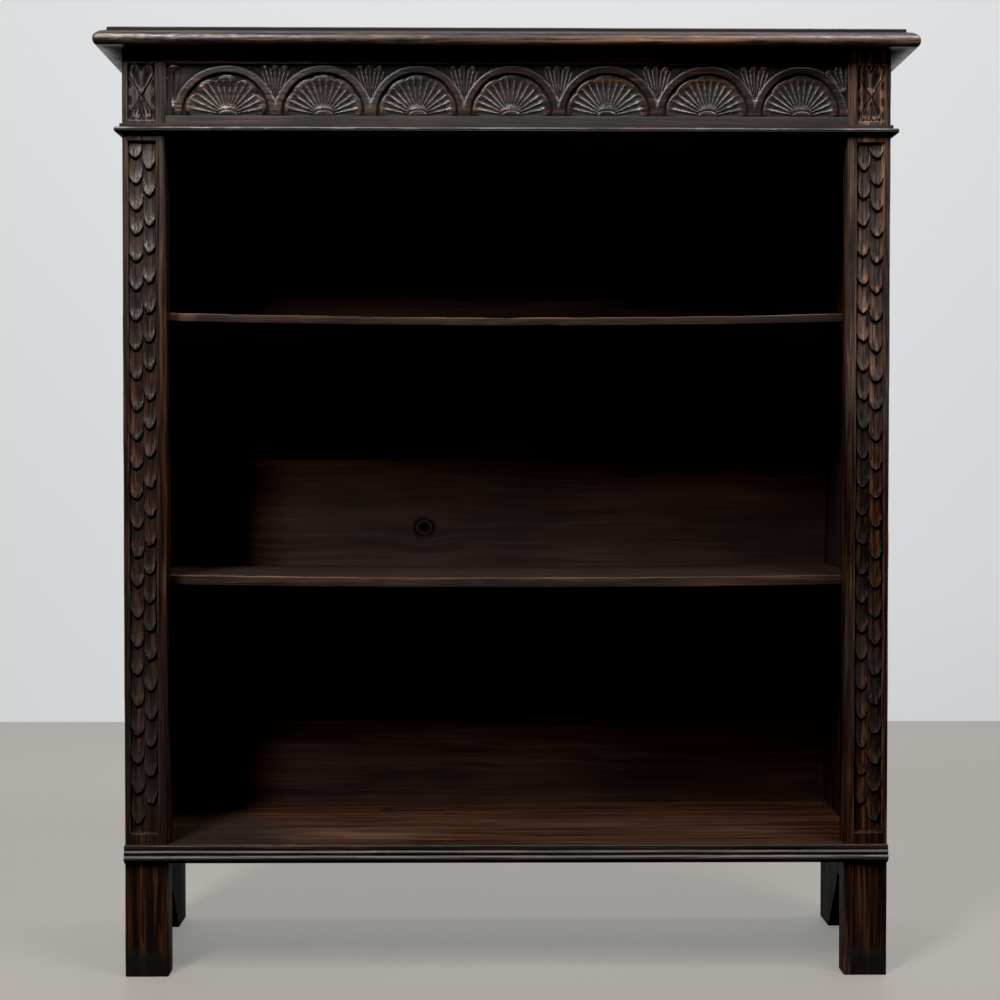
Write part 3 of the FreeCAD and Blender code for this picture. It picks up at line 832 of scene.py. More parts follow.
def scale_depths(u, z, column, draw, seed):
    """How deep one column of scales lies under the face, and where the painted shadow of the tip above falls.
    """
    tips = tip_heights(column, draw)
    lean = draw.uniform(-lean_error, lean_error, len(tips) + 1)
    middle = column["middle"] + column_sway["reach"] * uneven(z, 0 * z, column_sway["cell"], seed)
    number = np.searchsorted(tips, z - tip_allowance, side="right") - 1
    off = np.abs(u - middle - lean[number]) / column["half"]
    near = np.minimum(off, 1)
    lifted = z - tip_rise[0] * (1 - np.sqrt(1 - near**2)) - tip_rise[1] * near**2
    number = np.searchsorted(tips, lifted, side="right") - 1
    upper = np.append(tips, panel_ends[1] + end_room)[number + 1]
    lower = tips[np.maximum(number, 0)]
    share = np.clip((lifted - lower) / (upper - lower), 0, 1)
    nose = tip_nose[0] * np.exp(-(lifted - lower) / tip_nose[1])
    sink = (1 - np.exp(-share / tip_swell)) / (1 - math.exp(-1 / tip_swell))
    depth = tip_depth + (sunk_depth - tip_depth) * sink + side_round * off**3 + nose
    depth = depth + facet["deep"] * np.cos(off * facet["turn"])
    bare = (number < 0) | (off > 1)
    return np.where(bare, ground_depth, np.minimum(depth, ground_depth)), ease(*under_tip_shadow_span, share) * ~bare


print("columns of scales:", len(columns))

# %% [markdown]
# ## Fluted fans
# Fans are the carver's second pattern: they fill the lunettes, the corners between them and the stile tops.
# A fan could be one flute, copied round the root. Polar coordinates let one formula make them all instead:
# the angle counts the flutes, and the distance is compared with a scalloped rim. Each fan also hands back
# where its sharp crests and its flute floors are: the crests take wax polish and a painted highlight,
# brighter on the fan's sides, and the floors take old wax and painted shade.

# %% Fluted fan
flute_start = (0.12, 0.36)  # shares of the fan's reach
flute_end = (0.70, 0.92)
flute_fade = 0.95  # how much of its depth a flute has lost at its end
lobe_power = 2.5
fan_edge = 0.03
fan_side = (1.04, 0.98)
fan_depth = 0.5
rim_drop = 0.7
rim_start = 0.75
crest_sides = (0.66, 0.94)
crest_start = (0.20, 0.42)
# painted highlight on the crests, brighter towards the fan's sides
crest_shine = (0.35, 0.9)  # in the middle of a fan, and what its sides add


def fluted_fan(angle, reach, spread, lobes, flutes, rim_dip, groove, flute_end=flute_end):
    """A fan round its root, from -spread to spread: relief, where it stands, crests and flute floors."""
    turn = (angle / spread + 1) / 2
    inside_lobe = 2 * np.mod(turn * lobes, 1) - 1
    rim = 1 - rim_dip * np.abs(inside_lobe) ** lobe_power
    inside_flute = 2 * np.mod(turn * flutes, 1) - 1
    length = ease(*flute_start, reach) * (1 - flute_fade * ease(*flute_end, reach))
    floor = (1 - inside_flute**2) * length
    mask = ease(fan_edge, -fan_edge, reach - rim) * ease(*fan_side, np.abs(angle) / spread)
    relief = fan_depth + groove * np.sqrt(floor * length) + rim_drop * ease(rim_start, 1.0, reach / rim)
    crest_highlight = ease(*crest_sides, np.abs(inside_flute)) * length * ease(*crest_start, reach)
    crest_highlight = crest_highlight * (crest_shine[0] + crest_shine[1] * np.abs(angle) / spread)
    return relief, mask, crest_highlight * mask, floor * mask


print("flutes end between", flute_end, "of a fan's reach")

# %% [markdown]
# ## Leaf panels at the stile tops
# Over the moulding each stile carries a small sunk panel with two fans that meet at a waist: two petals
# above, a fluted tuft below. The ground is only a little lower than the leaves, with a groove round each fan,
# and four notches in each side stand for the half leaves there.

# %% Leaf panel carving
block_sides = (7.0, 36.0)
block_ends = (951.4, 1012.0)
waist = (21.5, 978.0)
leaf_ground = 2.4
leaf_dip = 0.30
leaf_groove = 2.6
petals = {"size": 36.0, "spread": 0.50, "lobes": 2, "flutes": 2}
tuft = {"size": 28.0, "spread": 0.50, "lobes": 2, "flutes": 4}
outline_deep = 1.8
outline_gain = 2.6
notch_heights = (31.0, 12.0, -6.0, -21.0)  # over the waist
notch_place = 14.6  # to both sides of the waist
notch_size = (3.4, 5.2)
notch_edge = (1.3, 0.6)
notch_deep = 1.6
# painted shade with old wax: the ground, the notches and the flute floors
leaf_shade_and_wax = {"ground": 0.2, "notch": 0.8, "floor": 0.9}


def side_notches(across, up):
    """The notches along both sides of a leaf panel."""
    notch = np.zeros(across.shape)
    for height in notch_heights:
        off = np.hypot((np.abs(across) - notch_place) / notch_size[0], (up - height) / notch_size[1])
        notch = np.maximum(notch, ease(*notch_edge, off))
    return notch


def leaf_panel(u, z):
    """The hourglass of two fans in its sunk panel: depth, crests and grounds darkened with painted shade."""
    across, up = u - waist[0], z - waist[1]
    far = np.hypot(across, up)
    notch = side_notches(across, up)
    depth, crest_highlight = leaf_ground + notch_deep * notch, np.zeros(u.shape)
    ground = np.maximum(leaf_shade_and_wax["ground"], leaf_shade_and_wax["notch"] * notch)
    for fan, turned, half in ((petals, up, up > 0), (tuft, -up, up <= 0)):
        angle, reach = np.arctan2(across, turned), far / fan["size"]
        counts = (fan["spread"], fan["lobes"], fan["flutes"])
        leaf, mask, ridge, floor = fluted_fan(angle, reach, *counts, leaf_dip, leaf_groove)
        outline = np.minimum(outline_gain * soften(mask, 2) * (1 - mask), 1)
        depth = depth + (leaf - depth) * mask * half + outline_deep * outline * half
        crest_highlight = np.maximum(crest_highlight, ridge * half)
        # painted shade with old wax off the leaves and in their flute floors
        dirt_and_shade = ground * (1 - mask) + leaf_shade_and_wax["floor"] * floor**2 * mask
        ground = np.where(half, np.maximum(dirt_and_shade, outline), ground)
    return depth, crest_highlight, ground


print("a leaf panel is", block_ends[1] - block_ends[0], "mm high")

# %% [markdown]
# ## The face of a stile
# The two carvings are put together on one face, with the thin line along its inner margin and a little
# unevenness from the plane. From the finished depths come the marks: tips and crests are polished and carry
# a painted highlight, the wood under a tip carries a painted shadow, the margin is rubbed, the colour
# darkens downwards with painted shade and under the plinth strip with a painted shadow, and painted light
# greys the upper part, most on the right stile.

# %% Stile face
stile_low, stile_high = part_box("right_stile")
stile_width = (stile_high.x - stile_low.x) / MM
stile_height = stile_high.z / MM
line_place = 39.9  # the thin line cut along the inner margin
line_size = (0.55, 0.7)  # half its width, and its depth
panel_walls = (1.8, 1.2)  # how far the panel's walls slope at its sides and its ends
block_wall = 1.0
scale_tooling = (0.08, 5.0)  # how deep, and how large each mark of the tool is
leaf_tooling = (0.1, 3.0)
face_tooling = (0.12, 14)
foot_top = 140  # the plinth strip hides the stile about here

edge_reach, hollow_reach = 2, 5  # how many points to each side are compared
edge_start, edge_full, hollow_full = 0.7, 0.7, 0.8  # millimetres
# painted shade, with some dirt, in the ground between the scales
ground_shade = {"share": 0.15, "edges": (ground_depth - 0.8, ground_depth - 0.2)}
# painted shadow under the scale tips
under_tip_shadow = 0.9
# share of the painted shade in the leaf panels
leaf_shade_share = 0.85
sunk_share = 0.3
# painted shade: the stile darkens between these heights towards the bottom
low_shade = {"share": 0.22, "heights": (640, 300)}
foot_dirt = {"share": 0.7, "heights": (45, 15)}
# painted shadow just under the plinth strip
plinth_shadow = {"share": 0.3, "heights": (110, 128)}
# painted highlight on the scale tips, fading out lower down
tip_highlight = {"share": 0.6, "depths": (2.0, 1.0), "heights": (600, 900)}
# polish with a painted highlight on proud edges
edge_polish_and_highlight = 0.25
# polish and a painted highlight on the leaves over the moulding
leaf_polish_and_highlight = (0.2, 2.0)
margin_start = (line_place + 0.6, line_place + 1.2)
margin_wear = {"share": 0.18, "uneven": 0.4, "cell": 45}
arris_wear = {"share": 0.5, "reach": (2.2, 0.6), "heights": (20, 60)}
# painted light: the upper part of a stile is made paler and greyer
painted_top_light = {"heights": (520, 880), "grey": 0.34}


def inside(low, high, value, slope):
    """1 between two lines and 0 outside them, with a sloping wall at each."""
    return ease(low - slope / 2, low + slope / 2, value) * ease(high + slope / 2, high - slope / 2, value)


def carved_marks(depth):
    """Marks for proud edges and for hollows: a point is compared with the points round it."""
    proud = soften(soften(depth, edge_reach), edge_reach) - depth
    sunk = depth - soften(soften(depth, hollow_reach), hollow_reach)
    return np.clip((proud - edge_start) / edge_full, 0, 1), np.clip(sunk / hollow_full, 0, 1)


def stile_face(uu, zz, top_light_share, seed):
    """The carved face of a stile: its depth, and its worn, hollow and proud marks."""
    draw = np.random.default_rng(seed)
    left, right = (scale_depths(uu, zz, column, draw, seed + k) for k, column in enumerate(columns))
    scales = np.minimum(left[0], right[0]) + scale_tooling[0] * uneven(uu, zz, scale_tooling[1], seed + 5)
    leaves, crest_highlight, dark = leaf_panel(uu, zz)
    leaves = leaves + leaf_tooling[0] * uneven(uu, zz, leaf_tooling[1], seed + 6)
    panel = inside(*panel_sides, uu, panel_walls[0]) * inside(*panel_ends, zz, panel_walls[1])
    block = inside(*block_sides, uu, block_wall) * inside(*block_ends, zz, block_wall)
    below = zz < panel_ends[1]
    depth = scales * panel + leaves * block + line_size[1] * hump(line_place, line_size[0], uu) * below
    depth = np.maximum(depth, 0) + face_tooling[0] * (1 + uneven(uu, zz, face_tooling[1], seed + 7))
    proud, hollow = carved_marks(depth)

    # painted shade in the ground, and under the tips
    ground = ground_shade["share"] * ease(*ground_shade["edges"], scales)
    ground = panel * np.maximum(ground, under_tip_shadow * np.maximum(left[1], right[1]))
    # painted shade, darker towards the bottom
    low = low_shade["share"] * ease(*low_shade["heights"], zz) * (zz > foot_top)
    hollow = most(sunk_share * hollow, ground, leaf_shade_share * dark * block, low)
    # painted highlight on the tips of the scales
    tip = panel * ease(*tip_highlight["depths"], scales) * ease(*tip_highlight["heights"], zz)
    # polish and a painted highlight on the leaves
    leaf_glint = block * np.minimum(leaf_polish_and_highlight[0] + leaf_polish_and_highlight[1] * crest_highlight, 1)
    proud = most(edge_polish_and_highlight * proud, tip_highlight["share"] * tip, leaf_glint)
    margin = margin_wear["share"] + margin_wear["uneven"] * uneven(uu, zz, margin_wear["cell"], seed + 9)
    margin = ease(*margin_start, uu) * below * margin
    arris = ease(*arris_wear["reach"], np.minimum(uu, stile_width - uu)) * ease(*arris_wear["heights"], zz)
    # painted light on the upper part of the stile
    top_lightening = top_light_share * ease(*painted_top_light["heights"], zz) * (1 - hollow)
    worn = most(margin, arris_wear["share"] * arris, top_lightening)
    proud = np.maximum(proud, painted_top_light["grey"] * top_lightening)
    foot = foot_dirt["share"] * ease(*foot_dirt["heights"], zz)
    # painted shadow under the plinth strip, and dirt at the foot
    foot = foot + plinth_shadow["share"] * ease(*plinth_shadow["heights"], zz) * (zz < foot_top)
    return depth, worn, np.maximum(hollow, foot), proud


print("a stile is", round(stile_width, 1), "mm wide")

# %% [markdown]
# ## The stile as one skin
# The stile is a post with a groove behind for the side's tongue. Its rings are level sections from the floor
# up, close together where it is carved and wide apart on the plain foot. The front of each ring follows the
# carving, and its two front arrises are worn round, more at some heights than at others.

# %% Carved stiles
outer_x = stile_high.x / MM
face_y = stile_low.y / MM
stile_back = stile_high.y / MM
tongue_sides = (8.0, 16.0)  # from the outer face
tongue_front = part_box("right_side")[0].y / MM - 0.2
back_arris = 0.8
tread_radius = 1.0
arris_radius = 1.8
arris_sway = (0.5, 40)
# painted light: the face towards the shelves is made paler, as if lit
inner_face_light = 0.6  # of the face towards the shelves
arris_points = np.array([0, 0.2, 0.5, 0.9, 1.4])  # from the edge of the face
face_start = 2.0
face_count = 64
tread_points = [0, 0.3, 1.0, 2.0]  # heights
foot_start = 5
scale_zone = (155, 933)
leaf_zone = (948, 1015)
plain_pitch, scale_pitch, leaf_pitch = 3.0, 0.85, 0.8


def worn_arris(distance, radius):
    """How far a rounded arris lies under the sharp one, this far from the edge."""
    short = np.clip(radius - distance, 0, radius)
    return radius - np.sqrt(radius**2 - short**2)


def stile_grid():
    """Distances from the stile's outer edge, and heights over the floor."""
    face = np.linspace(face_start, stile_width - face_start, face_count)
    u = np.concatenate([arris_points, face, stile_width - arris_points[::-1]])
    heights = [
        np.array(tread_points),
        np.arange(foot_start, scale_zone[0], plain_pitch),
        np.arange(*scale_zone, scale_pitch),
        np.arange(scale_zone[1] + 1, leaf_zone[0], plain_pitch),
        np.arange(*leaf_zone, leaf_pitch),
        np.arange(leaf_zone[1] + 1, stile_height, plain_pitch),
        [stile_height],
    ]
    return u, np.concatenate(heights)


def stile_back_points():
    """The back of a level section, from the inner corner round the groove to the outer one."""
    near, far = tongue_sides
    points = [(stile_width, stile_back - back_arris), (stile_width - back_arris, stile_back)]
    points += [(far, stile_back), (far, tongue_front), (near, tongue_front), (near, stile_back)]
    return np.array(points + [(back_arris, stile_back), (0, stile_back - back_arris)])


def carved_stile(node, hand, top_light_share, seed):
    """One stile; hand is 1 for the right and -1 for the left, whose carving is the mirror image."""
    u, z = stile_grid()
    uu, zz = np.meshgrid(u, z)
    depth, worn, hollow, proud = stile_face(uu, zz, top_light_share, seed)
    radius = arris_radius * (1 + arris_sway[0] * uneven(zz, 0 * zz, arris_sway[1], seed + 8))
    depth = depth + (worn_arris(uu, radius) + worn_arris(stile_width - uu, radius))
    back = stile_back_points()
    ring_u = np.hstack([uu, np.tile(back[:, 0], (len(z), 1))])
    ring_y = np.hstack([face_y + depth, np.tile(back[:, 1], (len(z), 1))])
    tread = worn_arris(z, tread_radius)[:, None]
    ring_u = ring_u + tread * np.sign(stile_width / 2 - ring_u)
    ring_y = ring_y + tread * np.sign((face_y + stile_back) / 2 - ring_y)
    ring_z = np.broadcast_to(z[:, None], ring_u.shape)
    rings = np.stack([hand * (outer_x - ring_u), ring_y, ring_z], axis=-1) * MM
    plain = np.zeros((len(z), len(back)))
    rubbed = plain.copy()
    # painted light on the inner face
    rubbed[:, :2] = inner_face_light
    marks = {"worn": np.hstack([worn, rubbed])}
    marks["hollow"] = np.hstack([hollow, plain])
    marks["proud"] = np.hstack([proud, plain])
    stand_for(node, rings, marks, upright_oak, "case")


# painted light on the upper part of each stile, much more on the right one
carved_stile("left_stile", -1, top_light_share=0.30, seed=11)
carved_stile("right_stile", 1, top_light_share=1.45, seed=37)

# %% [markdown]
# ## Lunettes on the frieze
# Seven half-round arches stand side by side along the frieze, each over a fluted fan,
# with small leaves in the corners between them. It is an old pattern in oak carving, set out with compasses.
# Ellipses make the arches, and the fluted fans serve again.
# The fans were set out by eye, so their middles are not quite even.

# %% Lunette carving
fan_middles = (-309.0, -203.0, -99.0, 4.0, 110.0, 222.0, 326.0)  # millimetres along the rail
arch_ends = (-366.5, 374.5)  # where the outermost arches stand on the base line
carving_ends = (956.3, 1012.0)
springing = 1.03  # neighbours overlap by this much at their feet
arch_height = 55.0
lunette_height = 46.7
lunette_share = 0.845  # of the arch's width
lunette_ground = 3.6
fan_share = 0.97  # of the opening under the arch
fan_counts = (math.pi / 2, 5, 15)  # spread, lobes and flutes
fan_groove = 2.3
first_dip, fan_dip = 0.13, 0.055  # the first fan's lobes are cut deeper
# painted shade with old wax in the flute floors
floor_shade_and_wax = 0.6
boss_size = (11.0, 5.5)
boss_edge = (1.08, 0.9)
boss_clear = (1.0, 1.3)
boss_ring = {"edge": 1.25, "deep": 0.8, "most": 2.6}
corner_points = [(a + b) / 2 for a, b in zip(fan_middles, fan_middles[1:])]


def arch_halves(number):
    """How far an arch reaches to the left and to the right of its fan's middle."""
    feet = [arch_ends[0], *corner_points, arch_ends[1]]
    middle = fan_middles[number]
    return springing * (middle - feet[number]), springing * (feet[number + 1] - middle)


def lunette(x, z, number):
    """One arch's fan and boss: depth, crests and dark ground, then how far out each point lies
    by the arch's inner edge and its outer one, and the arch's half width there."""
    across, up = x - fan_middles[number], z - carving_ends[0]
    half = np.where(across < 0, *arch_halves(number))
    outer = np.hypot(across / half, up / arch_height)
    inner = np.hypot(across / (half * lunette_share), up / lunette_height)
    dip = first_dip if number == 0 else fan_dip
    angle, reach = np.arctan2(across, up), inner / fan_share
    fan, mask, crest_highlight, floor = fluted_fan(angle, reach, *fan_counts, dip, fan_groove)
    depth = lunette_ground + (fan - lunette_ground) * mask
    boss = np.hypot(across / boss_size[0], up / boss_size[1])
    ringed = np.minimum(depth + boss_ring["deep"], boss_ring["most"])
    depth = np.where(boss < boss_ring["edge"], ringed, depth)
    depth = depth + (fan_depth - depth) * ease(*boss_edge, boss)
    clear = ease(*boss_clear, boss)
    # the third value is painted shade with old wax, on the ground and in the flute floors
    return depth, crest_highlight * clear, (1 - mask + floor_shade_and_wax * floor) * clear, inner, outer, half


print("corners between the arches:", len(corner_points))

# %% [markdown]
# ## The whole carving of the frieze
# The corner leaves are laid down first, and then each arch covers what lies inside it.
# At the left end there is only room for a narrow dull leaf, and at the right end for half a leaf that leans.

# %% Frieze carving
rail_low, rail_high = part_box("frieze_rail")
rail_half = stile_low.x / MM
carving_half = rail_half - 1.5
base = carving_ends[0]
# the corner ground is darkened with painted shade and old wax
corner_ground = {"deep": 2.6, "dirt_and_shade": 0.6}
leaf_shape = {"lean": 0.0, "spread": 0.37, "reach": 48.0, "lobes": 3, "flutes": 6, "polish": 1.0}
left_leaf = {"lean": 0.02, "spread": 0.17, "reach": 54.0, "lobes": 1, "flutes": 2, "polish": 0.15}
right_leaf = {"lean": -0.42, "spread": 0.45, "reach": 33.0, "lobes": 2, "flutes": 4, "polish": 0.8}
leaf_root = 9.0  # height of a corner leaf's root over the base line
corner_leaves = [(root_x, base + leaf_root, leaf_shape) for root_x in corner_points]
corner_leaves += [(-369.0, base + 2, left_leaf), (374.5, base + 24, right_leaf)]
corner_cut = (0.13, 2.1, (0.78, 0.97))  # dip of the rim, depth of the flutes, and where they end
arch_edge = 0.02
arch_rim = {"shine": 0.45, "width": 1.1, "heights": (6, 14)}
frieze_tooling = (0.1, 3.2)
rail_tooling = (0.1, 18)
rail_line = (0.6, 0.8)  # half width and depth of the two lines along the carving


def corner_leaf(x, z, root_x, root_z, shape):
    """One leaf between two arches: its relief, where it stands, its crests and its flute floors."""
    across, up = x - root_x, z - root_z
    angle, far = np.arctan2(across, up) - shape["lean"], np.hypot(across, up) / shape["reach"]
    counts = (shape["spread"], shape["lobes"], shape["flutes"])
    leaf, mask, ridge, floor = fluted_fan(angle, far, *counts, *corner_cut)
    return leaf, mask, shape["polish"] * ridge, floor


def frieze_carving(x, z, seed):
    """The whole carving of the rail: its depth under the face, its crests and its dark grounds."""
    depth, ground = np.full(x.shape, corner_ground["deep"]), np.full(x.shape, corner_ground["dirt_and_shade"])
    crest_highlight = np.zeros(x.shape)
    for place in corner_leaves:
        leaf, mask, ridge, floor = corner_leaf(x, z, *place)
        depth = depth + (leaf - depth) * mask
        crest_highlight = np.maximum(crest_highlight, ridge)
        ground = ground * (1 - mask) + floor_shade_and_wax * floor
    for number in range(len(fan_middles)):
        fan, ridge, dirt_and_shade, inner, outer, half = lunette(x, z, number)
        outside = ease(1 - arch_edge, 1 + arch_edge, outer)
        within = ease(1 + arch_edge, 1 - arch_edge, inner)
        depth = depth * outside + (fan - depth * outside) * within
        rim = arch_rim["shine"] * hump(0, arch_rim["width"], (outer - 1) * half)
        rim = rim * ease(*arch_rim["heights"], z - base)
        crest_highlight = np.maximum(crest_highlight * outside, rim) * (1 - within) + ridge * within
        # painted shade with old wax in the grounds
        ground = ground * outside * (1 - within) + dirt_and_shade * within
    depth = depth + frieze_tooling[0] * uneven(x, z, frieze_tooling[1], seed)
    panel = inside(*carving_ends, z, block_wall) * inside(-carving_half, carving_half, x, block_wall)
    lines = sum(hump(line, rail_line[0], z) for line in carving_ends)
    depth = np.maximum(depth, 0) * panel + rail_line[1] * lines
    depth = depth + rail_tooling[0] * (1 + uneven(x, z, rail_tooling[1], seed + 1))
    return depth, crest_highlight * panel, ground * panel


print("leaves on the frieze:", len(corner_leaves))

# %% [markdown]
# ## The frieze as one skin
# The rail's rings stand upright and follow each other from left to right.
# A grid fine enough for the flutes everywhere would be very heavy, so the plain strips above and below
# the carving get only a few points.

# %% Carved frieze
rail_back = rail_high.y / MM
carved_zone = (952.8, 1013.5)
carved_pitch = 0.76
plain_zones = ((952, 9), (1014.5, 6))  # where the plain strips end and start, and their points
rail_rings = 951
# polish with a painted highlight on proud edges of the rail
rail_polish_and_highlight = 0.15
base_dirt = {"share": 0.8, "width": 1.3}
band_dirt = 0.45  # of the plain band under the carving


def carved_frieze(node, seed):
    """The rail between the stiles with its carved face."""
    low, high = rail_low.z / MM, rail_high.z / MM
    (below, below_count), (above, above_count) = plain_zones
    z = [np.linspace(low, below, below_count), np.arange(*carved_zone, carved_pitch)]
    z = np.concatenate(z + [np.linspace(above, high, above_count)])
    x = np.linspace(-rail_half, rail_half, rail_rings)
    zz, xx = np.meshgrid(z, x)
    depth, crest_highlight, ground = frieze_carving(xx, zz, seed)
    proud, hollow = carved_marks(depth)
    # the crests carry polish and a painted highlight
    proud = np.maximum(crest_highlight, rail_polish_and_highlight * proud)
    base_line = base_dirt["share"] * hump(base, base_dirt["width"], zz)
    hollow = most(hollow, ground, base_line, band_dirt * (zz < base))
    ring_z = np.hstack([zz, np.tile([high, low], (len(x), 1))])
    ring_y = np.hstack([face_y + depth, np.full((len(x), 2), rail_back)])
    ring_x = np.broadcast_to(x[:, None], ring_z.shape)
    rings = np.stack([ring_x, ring_y, ring_z], axis=-1) * MM
    plain = np.zeros((len(x), 2))
    marks = {"proud": np.hstack([proud, plain]), "hollow": np.hstack([hollow, plain])}
    stand_for(node, rings, marks, level_oak, "case")


carved_frieze("frieze_rail", seed=71)

# %% [markdown]
# ## The moulded top
# A moulding plane has run a thumb round the front and both ends of the top, under a small step.
# A bevel modifier with a profile of its own could draw such a section, but then its wear could not be marked
# point by point. So the rings here are level outlines of the whole board, one for each point of the section,
# each set in from the edge as far as the section says.
# The front corners are rubbed round, and the nose has small dents.

# %% Moulded top
top_low, top_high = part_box("top_board")
top_thickness = (top_high.z - top_low.z) / MM
thumb_set_back = 13.0
thumb_step = 4.5
nose_height = 6.5
nose_return = 4.0
corner_radius = 3.0
step_arris = 1.2
thumb_end, arris_start = 92, 160  # degrees
fillet_gap = 0.2
under_row = 20  # one outline on the underside, and two on the upper face
upper_rows = (8, 40)
side_count, front_count = 60, 260
nose_spread = 6
dents = {"cell": 9, "start": 0.35, "deep": 1.1}
top_wear = {"nose": 0.92, "step": 0.8, "up": 21.2, "set_in": thumb_set_back + 1.3}
# painted shadow at the foot of the step
step_shadow = {"share": 0.9, "set_in": 9, "heights": (16.6, 20.9)}
# dirt on the upper face, painted shade on the underside
flat_dirt_and_underside_shade = {"over": 0.36, "under": 0.7, "set_in": thumb_set_back + 2}


def quarter(centre, across, up, start, end, count):
    """Points on an upright ellipse from one angle to another, in degrees."""
    angle = np.radians(np.linspace(start, end, count))
    return np.stack([centre[0] + across * np.cos(angle), centre[1] + up * np.sin(angle)], axis=-1)


def top_section():
    """The moulded edge from the underside to the upper face: how far in, and how high."""
    step_z = top_thickness - thumb_step
    corner_z = top_thickness - step_arris
    under = quarter((nose_return, nose_height), nose_return, nose_height, 270, 180, 7)
    thumb_up = step_z - nose_height
    thumb = quarter((thumb_set_back, nose_height), thumb_set_back, thumb_up, 180, thumb_end, 12)[1:]
    fillet = np.array([(thumb_set_back, step_z - fillet_gap), (thumb_set_back, corner_z)])
    arris = quarter((thumb_set_back + step_arris, corner_z), step_arris, step_arris, arris_start, 90, 4)
    inner = np.array([(thumb_set_back + row, top_thickness) for row in upper_rows])
    return np.vstack([[(nose_return + under_row, 0)], under, thumb, fillet, arris, inner])


def top_outline(set_in):
    """One level outline of the board, from the back left corner round the front."""
    half = top_high.x / MM - set_in
    front, back = top_low.y / MM + set_in, top_high.y / MM
    turn = np.radians(np.linspace(0, 90, 6))[1:-1]
    radius = corner_radius
    left = np.stack([np.full(side_count, -half), np.linspace(back, front + radius, side_count)], axis=-1)
    bend = np.stack([-half + radius * (1 - np.cos(turn)), front + radius * (1 - np.sin(turn))], axis=-1)
    run = np.linspace(-half + radius, half - radius, front_count)
    run = np.stack([run, np.full(front_count, front)], axis=-1)
    mirror = (-1, 1)
    return np.vstack([left, bend, run, (bend * mirror)[::-1], (left * mirror)[::-1]])


def top_marks(set_in, up, nose):
    """How worn the board is at one point of its section, and how dark: dirt on the upper face,
    painted shade on the underside and a painted shadow at the foot of the step.
    """
    step = (up > top_wear["up"]) * (set_in < top_wear["set_in"])
    worn = max(nose * top_wear["nose"], top_wear["step"] * step)
    # painted shadow at the foot of the step
    in_quirk = (set_in > step_shadow["set_in"]) * (step_shadow["heights"][0] < up < step_shadow["heights"][1])
    # painted shade on the underside, dirt on the upper face
    flat = flat_dirt_and_underside_shade["over"] if up > nose_height else flat_dirt_and_underside_shade["under"]
    return worn, max(step_shadow["share"] * in_quirk, flat * (set_in > flat_dirt_and_underside_shade["set_in"]))


def moulded_top(node, seed):
    """The top board, rubbed and dented along its nose."""
    rings, worn, hollow = [], [], []
    for set_in, up in top_section():
        x, y = top_outline(set_in).T
        nose = math.exp(-(((up - nose_height) / nose_spread) ** 2)) * (set_in < thumb_set_back)
        dent = np.maximum(0, uneven(x + 3 * y, 0 * x + up, dents["cell"], seed) - dents["start"])
        dent = nose * dent * dents["deep"]
        in_front = (y < top_high.y / MM - 1) & (np.abs(x) < top_high.x / MM - set_in - 1)
        rings.append(np.stack([x, y + dent * in_front, np.full(len(x), top_low.z / MM + up)], axis=-1))
        rubbed, dirty = top_marks(set_in, up, nose)
        worn.append(np.full(len(x), rubbed))
        hollow.append(np.full(len(x), dirty))
    marks = {"worn": np.array(worn), "hollow": np.array(hollow)}
    stand_for(node, np.array(rings) * MM, marks, level_oak, "case")


moulded_top("top_board", seed=5)

# %% [markdown]
# ## Frieze moulding
# A small nose over a cove is planted round the case under the frieze, mitred at the front corners.
# The rings are the moulding's section, pushed along its length. A mitre needs no cutting:
# each point's run is simply longer by as much as the point stands out.

# %% Frieze moulding
moulding_low, moulding_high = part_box("frieze_moulding_front")
frieze_foot = moulding_low.z / MM
moulding_height = (moulding_high.z - moulding_low.z) / MM
moulding_out = face_y - moulding_low.y / MM
moulding_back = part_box("frieze_moulding_right")[1].y / MM
nose_radius = 2.9
nose_up = 4.6  # the middle of the nose over the moulding's foot
nose_top = nose_up + nose_radius
cove_foot = 0.6
cove_top = 3.4
fillet_out = 2.2
quirk_half = 0.6  # the narrow groove along the middle of the nose
quirk_deep = 0.7
nose_wear = {"out": (4.5, 6.5), "up": nose_up + 1.2}
fillet_gaps = (0.1, 0.3)  # to the nose and to the top
# painted shade in the cove under the nose, and dirt on the fillet
cove_shade_share, fillet_dirt_share = 0.8, 0.5
run_count = 240
run_length = 850  # millimetres, for the unevenness along a strip
rub = {"cell": 11, "start": 0.2, "deep": 0.7}
# wear and polish, and with them a painted highlight on the marked points
wear_and_highlight_share, polish_and_highlight = 0.8, 0.7


def frieze_moulding_section():
    """How far the moulding stands out and its height, round the section from its lower back corner."""
    cove = nose_up - nose_radius
    hollow = quarter((cove_foot + cove, 0), cove, cove, 180, 90, 8)
    nose = quarter((moulding_out - nose_radius, nose_up), nose_radius, nose_radius, -90, 90, 12)
    nose[np.abs(nose[:, 1] - nose_up) < quirk_half, 0] -= quirk_deep
    fillet_ends = (nose_top + fillet_gaps[0], moulding_height - fillet_gaps[1])
    fillet = np.array([(fillet_out, height) for height in fillet_ends])
    return np.vstack([[(0, 0)], hollow, nose, fillet, [(0, moulding_height)]])


